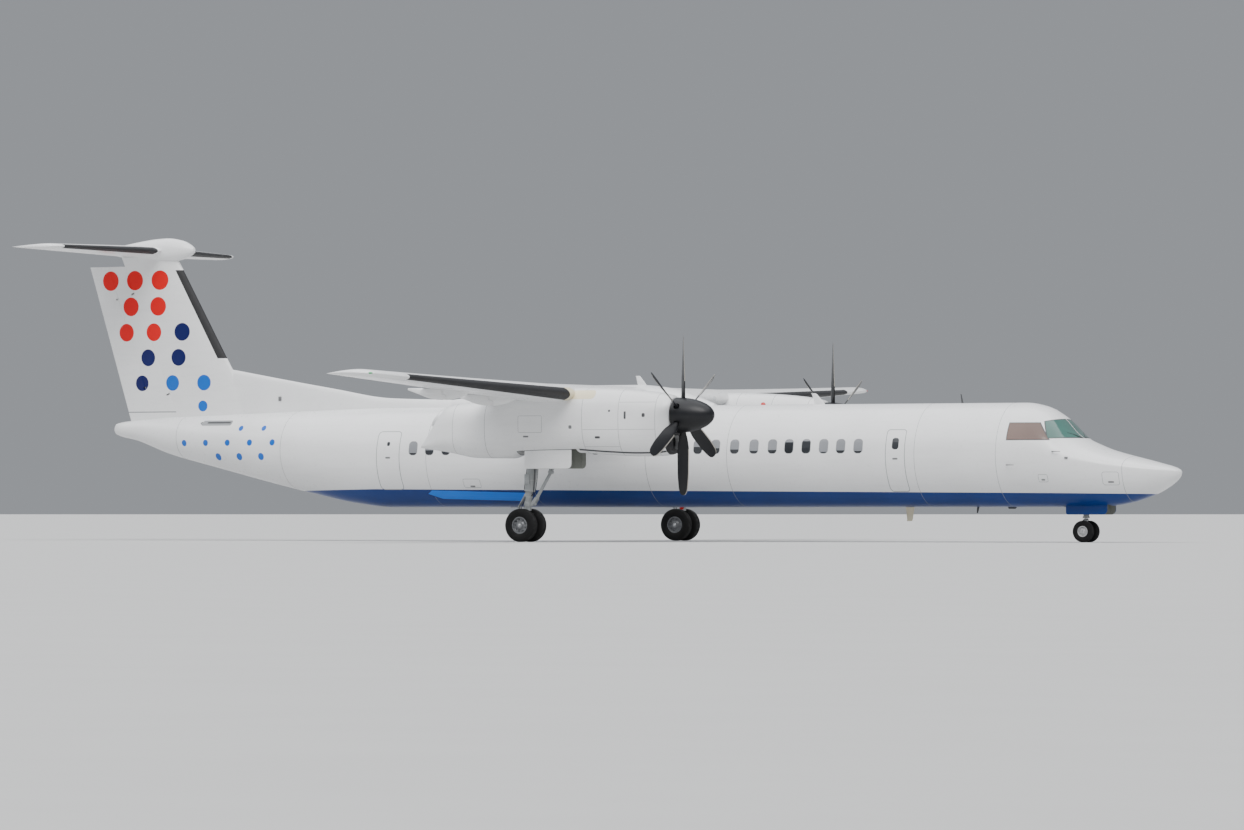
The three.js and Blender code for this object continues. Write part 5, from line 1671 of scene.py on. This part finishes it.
def nacelle_shell(lift):
    return engine_shell(NACELLE, -3000, COWL_JOINT - 10, lift)


paired([
    ("cowl_seams_*", cowl_shell(0.8) & united(*cowl_lines) - cowl_room, "seam"),
    ("cowl_vents_*", cowl_shell(2.0) & vents(COWL_VENTS), "seal"),
    ("nacelle_seams_*", nacelle_shell(0.8) & gathered(nacelle_lines) - cowl_room, "seam"),
    ("nacelle_vents_*", nacelle_shell(2.0) & vents(NACELLE_VENTS), "vent_grey"),
    ("gear_bay_edge_*", engine_shell(NACELLE, -2900, COWL_JOINT - 10, 2.0) & bay_edge, "seal"),
    ("wing_cuff_*", gathered([cuff, *cuff_patches]), "cream_paint"),
    # A dark strip just above each cowl's lowest line: painted shade under the nacelle's lower edge
    ("lower_edge_*", engine_shell(COWL, 1760, 4262, 2.0) & underside_shade_strip(COWL, 1760, 4262, 66, 42), "seal"),
    ("intake_band_*", engine_shell(COWL, 4270, COWL_FRONT - 8, 2.0) & lip_band, "boot_rubber"),
    ("intake_lip_*", softened(intake_lip, 16, 3), "boot_rubber"),
    # A near black plug across each intake's throat: painted shade for the dark duct behind the mouth
    ("intake_throat_*", intake(COWL_FRONT - FRONT_WALL - 20, COWL_FRONT - FRONT_WALL, 40), "dark_opening"),
    ("jet_pipe_*", tube, "soot white_paint", tube_faces),
])

# Seams on the outer wing: ribs across it, hatches, and the spoilers ahead of the outer flap. chord
# gives the shares of the chord that they reach from and to.

SPOILERS = Values(spans=(5300, 6700, 8100), length=1340, chord=(0.6, 0.715), seam=9)
WING_HATCHES = Values(spans=(6200, 7900, 9600, 11300), length=420, chord=(0.3, 0.5), seam=7)
RIBS = Values(spans=(5600, 7300, 9000, 10700, 12400), half=4, chord=(0.08, 0.58))


def wing_plan(y, share):
    _, leading, trailing, _, _ = row_at(WING, y)
    return leading - share * (leading - trailing), y


def wing_patch(low, high, start, stop):
    return [wing_plan(low, start), wing_plan(low, stop), wing_plan(high, stop), wing_plan(high, start)]


def outlined(row):
    outlines = [wing_patch(y, y + row.length, *row.chord) for y in row.spans]
    return [plan(outline) - plan(inset(outline, row.seam), -10, FAR * 3) for outline in outlines]


upper_side = loft([[(-2000, y, z), (3000, y, z), (3000, y, z + 1000), (-2000, y, z + 1000)]
                   for y, z in ((WING_JOINT, WING_Z), (14000, WING_Z + 390))])
wing_shell = wing_between(WING_JOINT + 10, 13900, 0.8) - wing_between(WING_JOINT, 13950, -1)
rib_lines = [plan(wing_patch(y - RIBS.half, y + RIBS.half, *RIBS.chord)) for y in RIBS.spans]
paired([
    ("spoiler_seams_*", wing_shell & upper_side & gathered(outlined(SPOILERS)), "seal"),
    ("wing_seams_*", wing_shell & gathered(rib_lines + outlined(WING_HATCHES)), "seam"),
])

# Static wicks: the spans of their roots, their length and their section
AILERON_WICKS, ELEVATOR_WICKS = (10400, 11500, 12600, 13400), (1600, 2600, 3600, 4300)
WICK_LENGTH, WICK = 150, [(0, 7), (0.25, 7), (0.26, 3), (1, 2)]


def wicks(roots):
    return gathered([stepped((x + 30, y, z), (x - WICK_LENGTH, y, z), WICK, sides=8) for x, y, z in roots])


for side, sign in SIDES:
    on_aileron = [(wing_plan(y, 0.995)[0], sign * y, row_at(WING, y)[3]) for y in AILERON_WICKS]
    on_elevator = [(row_at(TAILPLANE, y)[2] + 8, sign * y, TAILPLANE_Z) for y in ELEVATOR_WICKS]
    piece(f"aileron_wicks_{side}", wicks(on_aileron), "seal", rides_on=f"aileron_{side}")
    piece(f"elevator_wicks_{side}", wicks(on_elevator), "seal", rides_on=f"elevator_{side}")

# Stage

FLOOR_RADIUS = 1500.0
bpy.ops.mesh.primitive_circle_add(vertices=128, radius=FLOOR_RADIUS, fill_type="NGON", location=(0, 0, 0))
floor = bpy.context.object
floor.name = "floor"
floor.data.materials.append(surface("floor", (0.5, 0.5, 0.495), 0.9, 0.02, 0.0, bump=0.05, grain=20.0))

world = bpy.data.worlds.new("studio")
bpy.context.scene.world = world
world.use_nodes = True
background = world.node_tree.nodes["Background"]
background.inputs["Color"].default_value = (0.80, 0.84, 0.9, 1)
background.inputs["Strength"].default_value = 0.39


def placed(name, data, towards):
    """An object of a light or a camera that looks away from a direction."""
    obj = bpy.data.objects.new(name, data)
    obj.rotation_mode = "QUATERNION"
    obj.rotation_quaternion = Vector(towards).to_track_quat("Z", "Y")
    bpy.context.scene.collection.objects.link(obj)
    return obj


def sun(name, direction, strength, angle, colour):
    light = bpy.data.lights.new(name, "SUN")
    light.energy, light.angle, light.color = strength, math.radians(angle), colour
    placed(name, light, direction)


sun("sky", (0.0, -0.2, 1.0), 3.9, 100, (0.97, 0.98, 1.0))
sun("key", (0.4, -0.75, 0.95), 1.6, 35, (1.0, 0.98, 0.95))
sun("fill", (-0.8, 0.6, 0.5), 0.3, 60, (0.9, 0.94, 1.0))

# Camera
CAMERA = Values(azimuth=27.7, distance=180.0, height=0.8, look=(0.35, 0.0, 3.35), width=33.0, sensor=36)
camera_data = bpy.data.cameras.new("camera")
camera_data.sensor_width = CAMERA.sensor
camera_data.lens = CAMERA.sensor * CAMERA.distance / CAMERA.width
camera_data.clip_end = 4000
turn = math.radians(CAMERA.azimuth)
look = Vector(CAMERA.look)
spot = look + vec(math.sin(turn), -math.cos(turn), 0) * CAMERA.distance
spot.z = CAMERA.height
camera = placed("camera", camera_data, spot - look)
camera.location = spot
bpy.context.scene.camera = camera
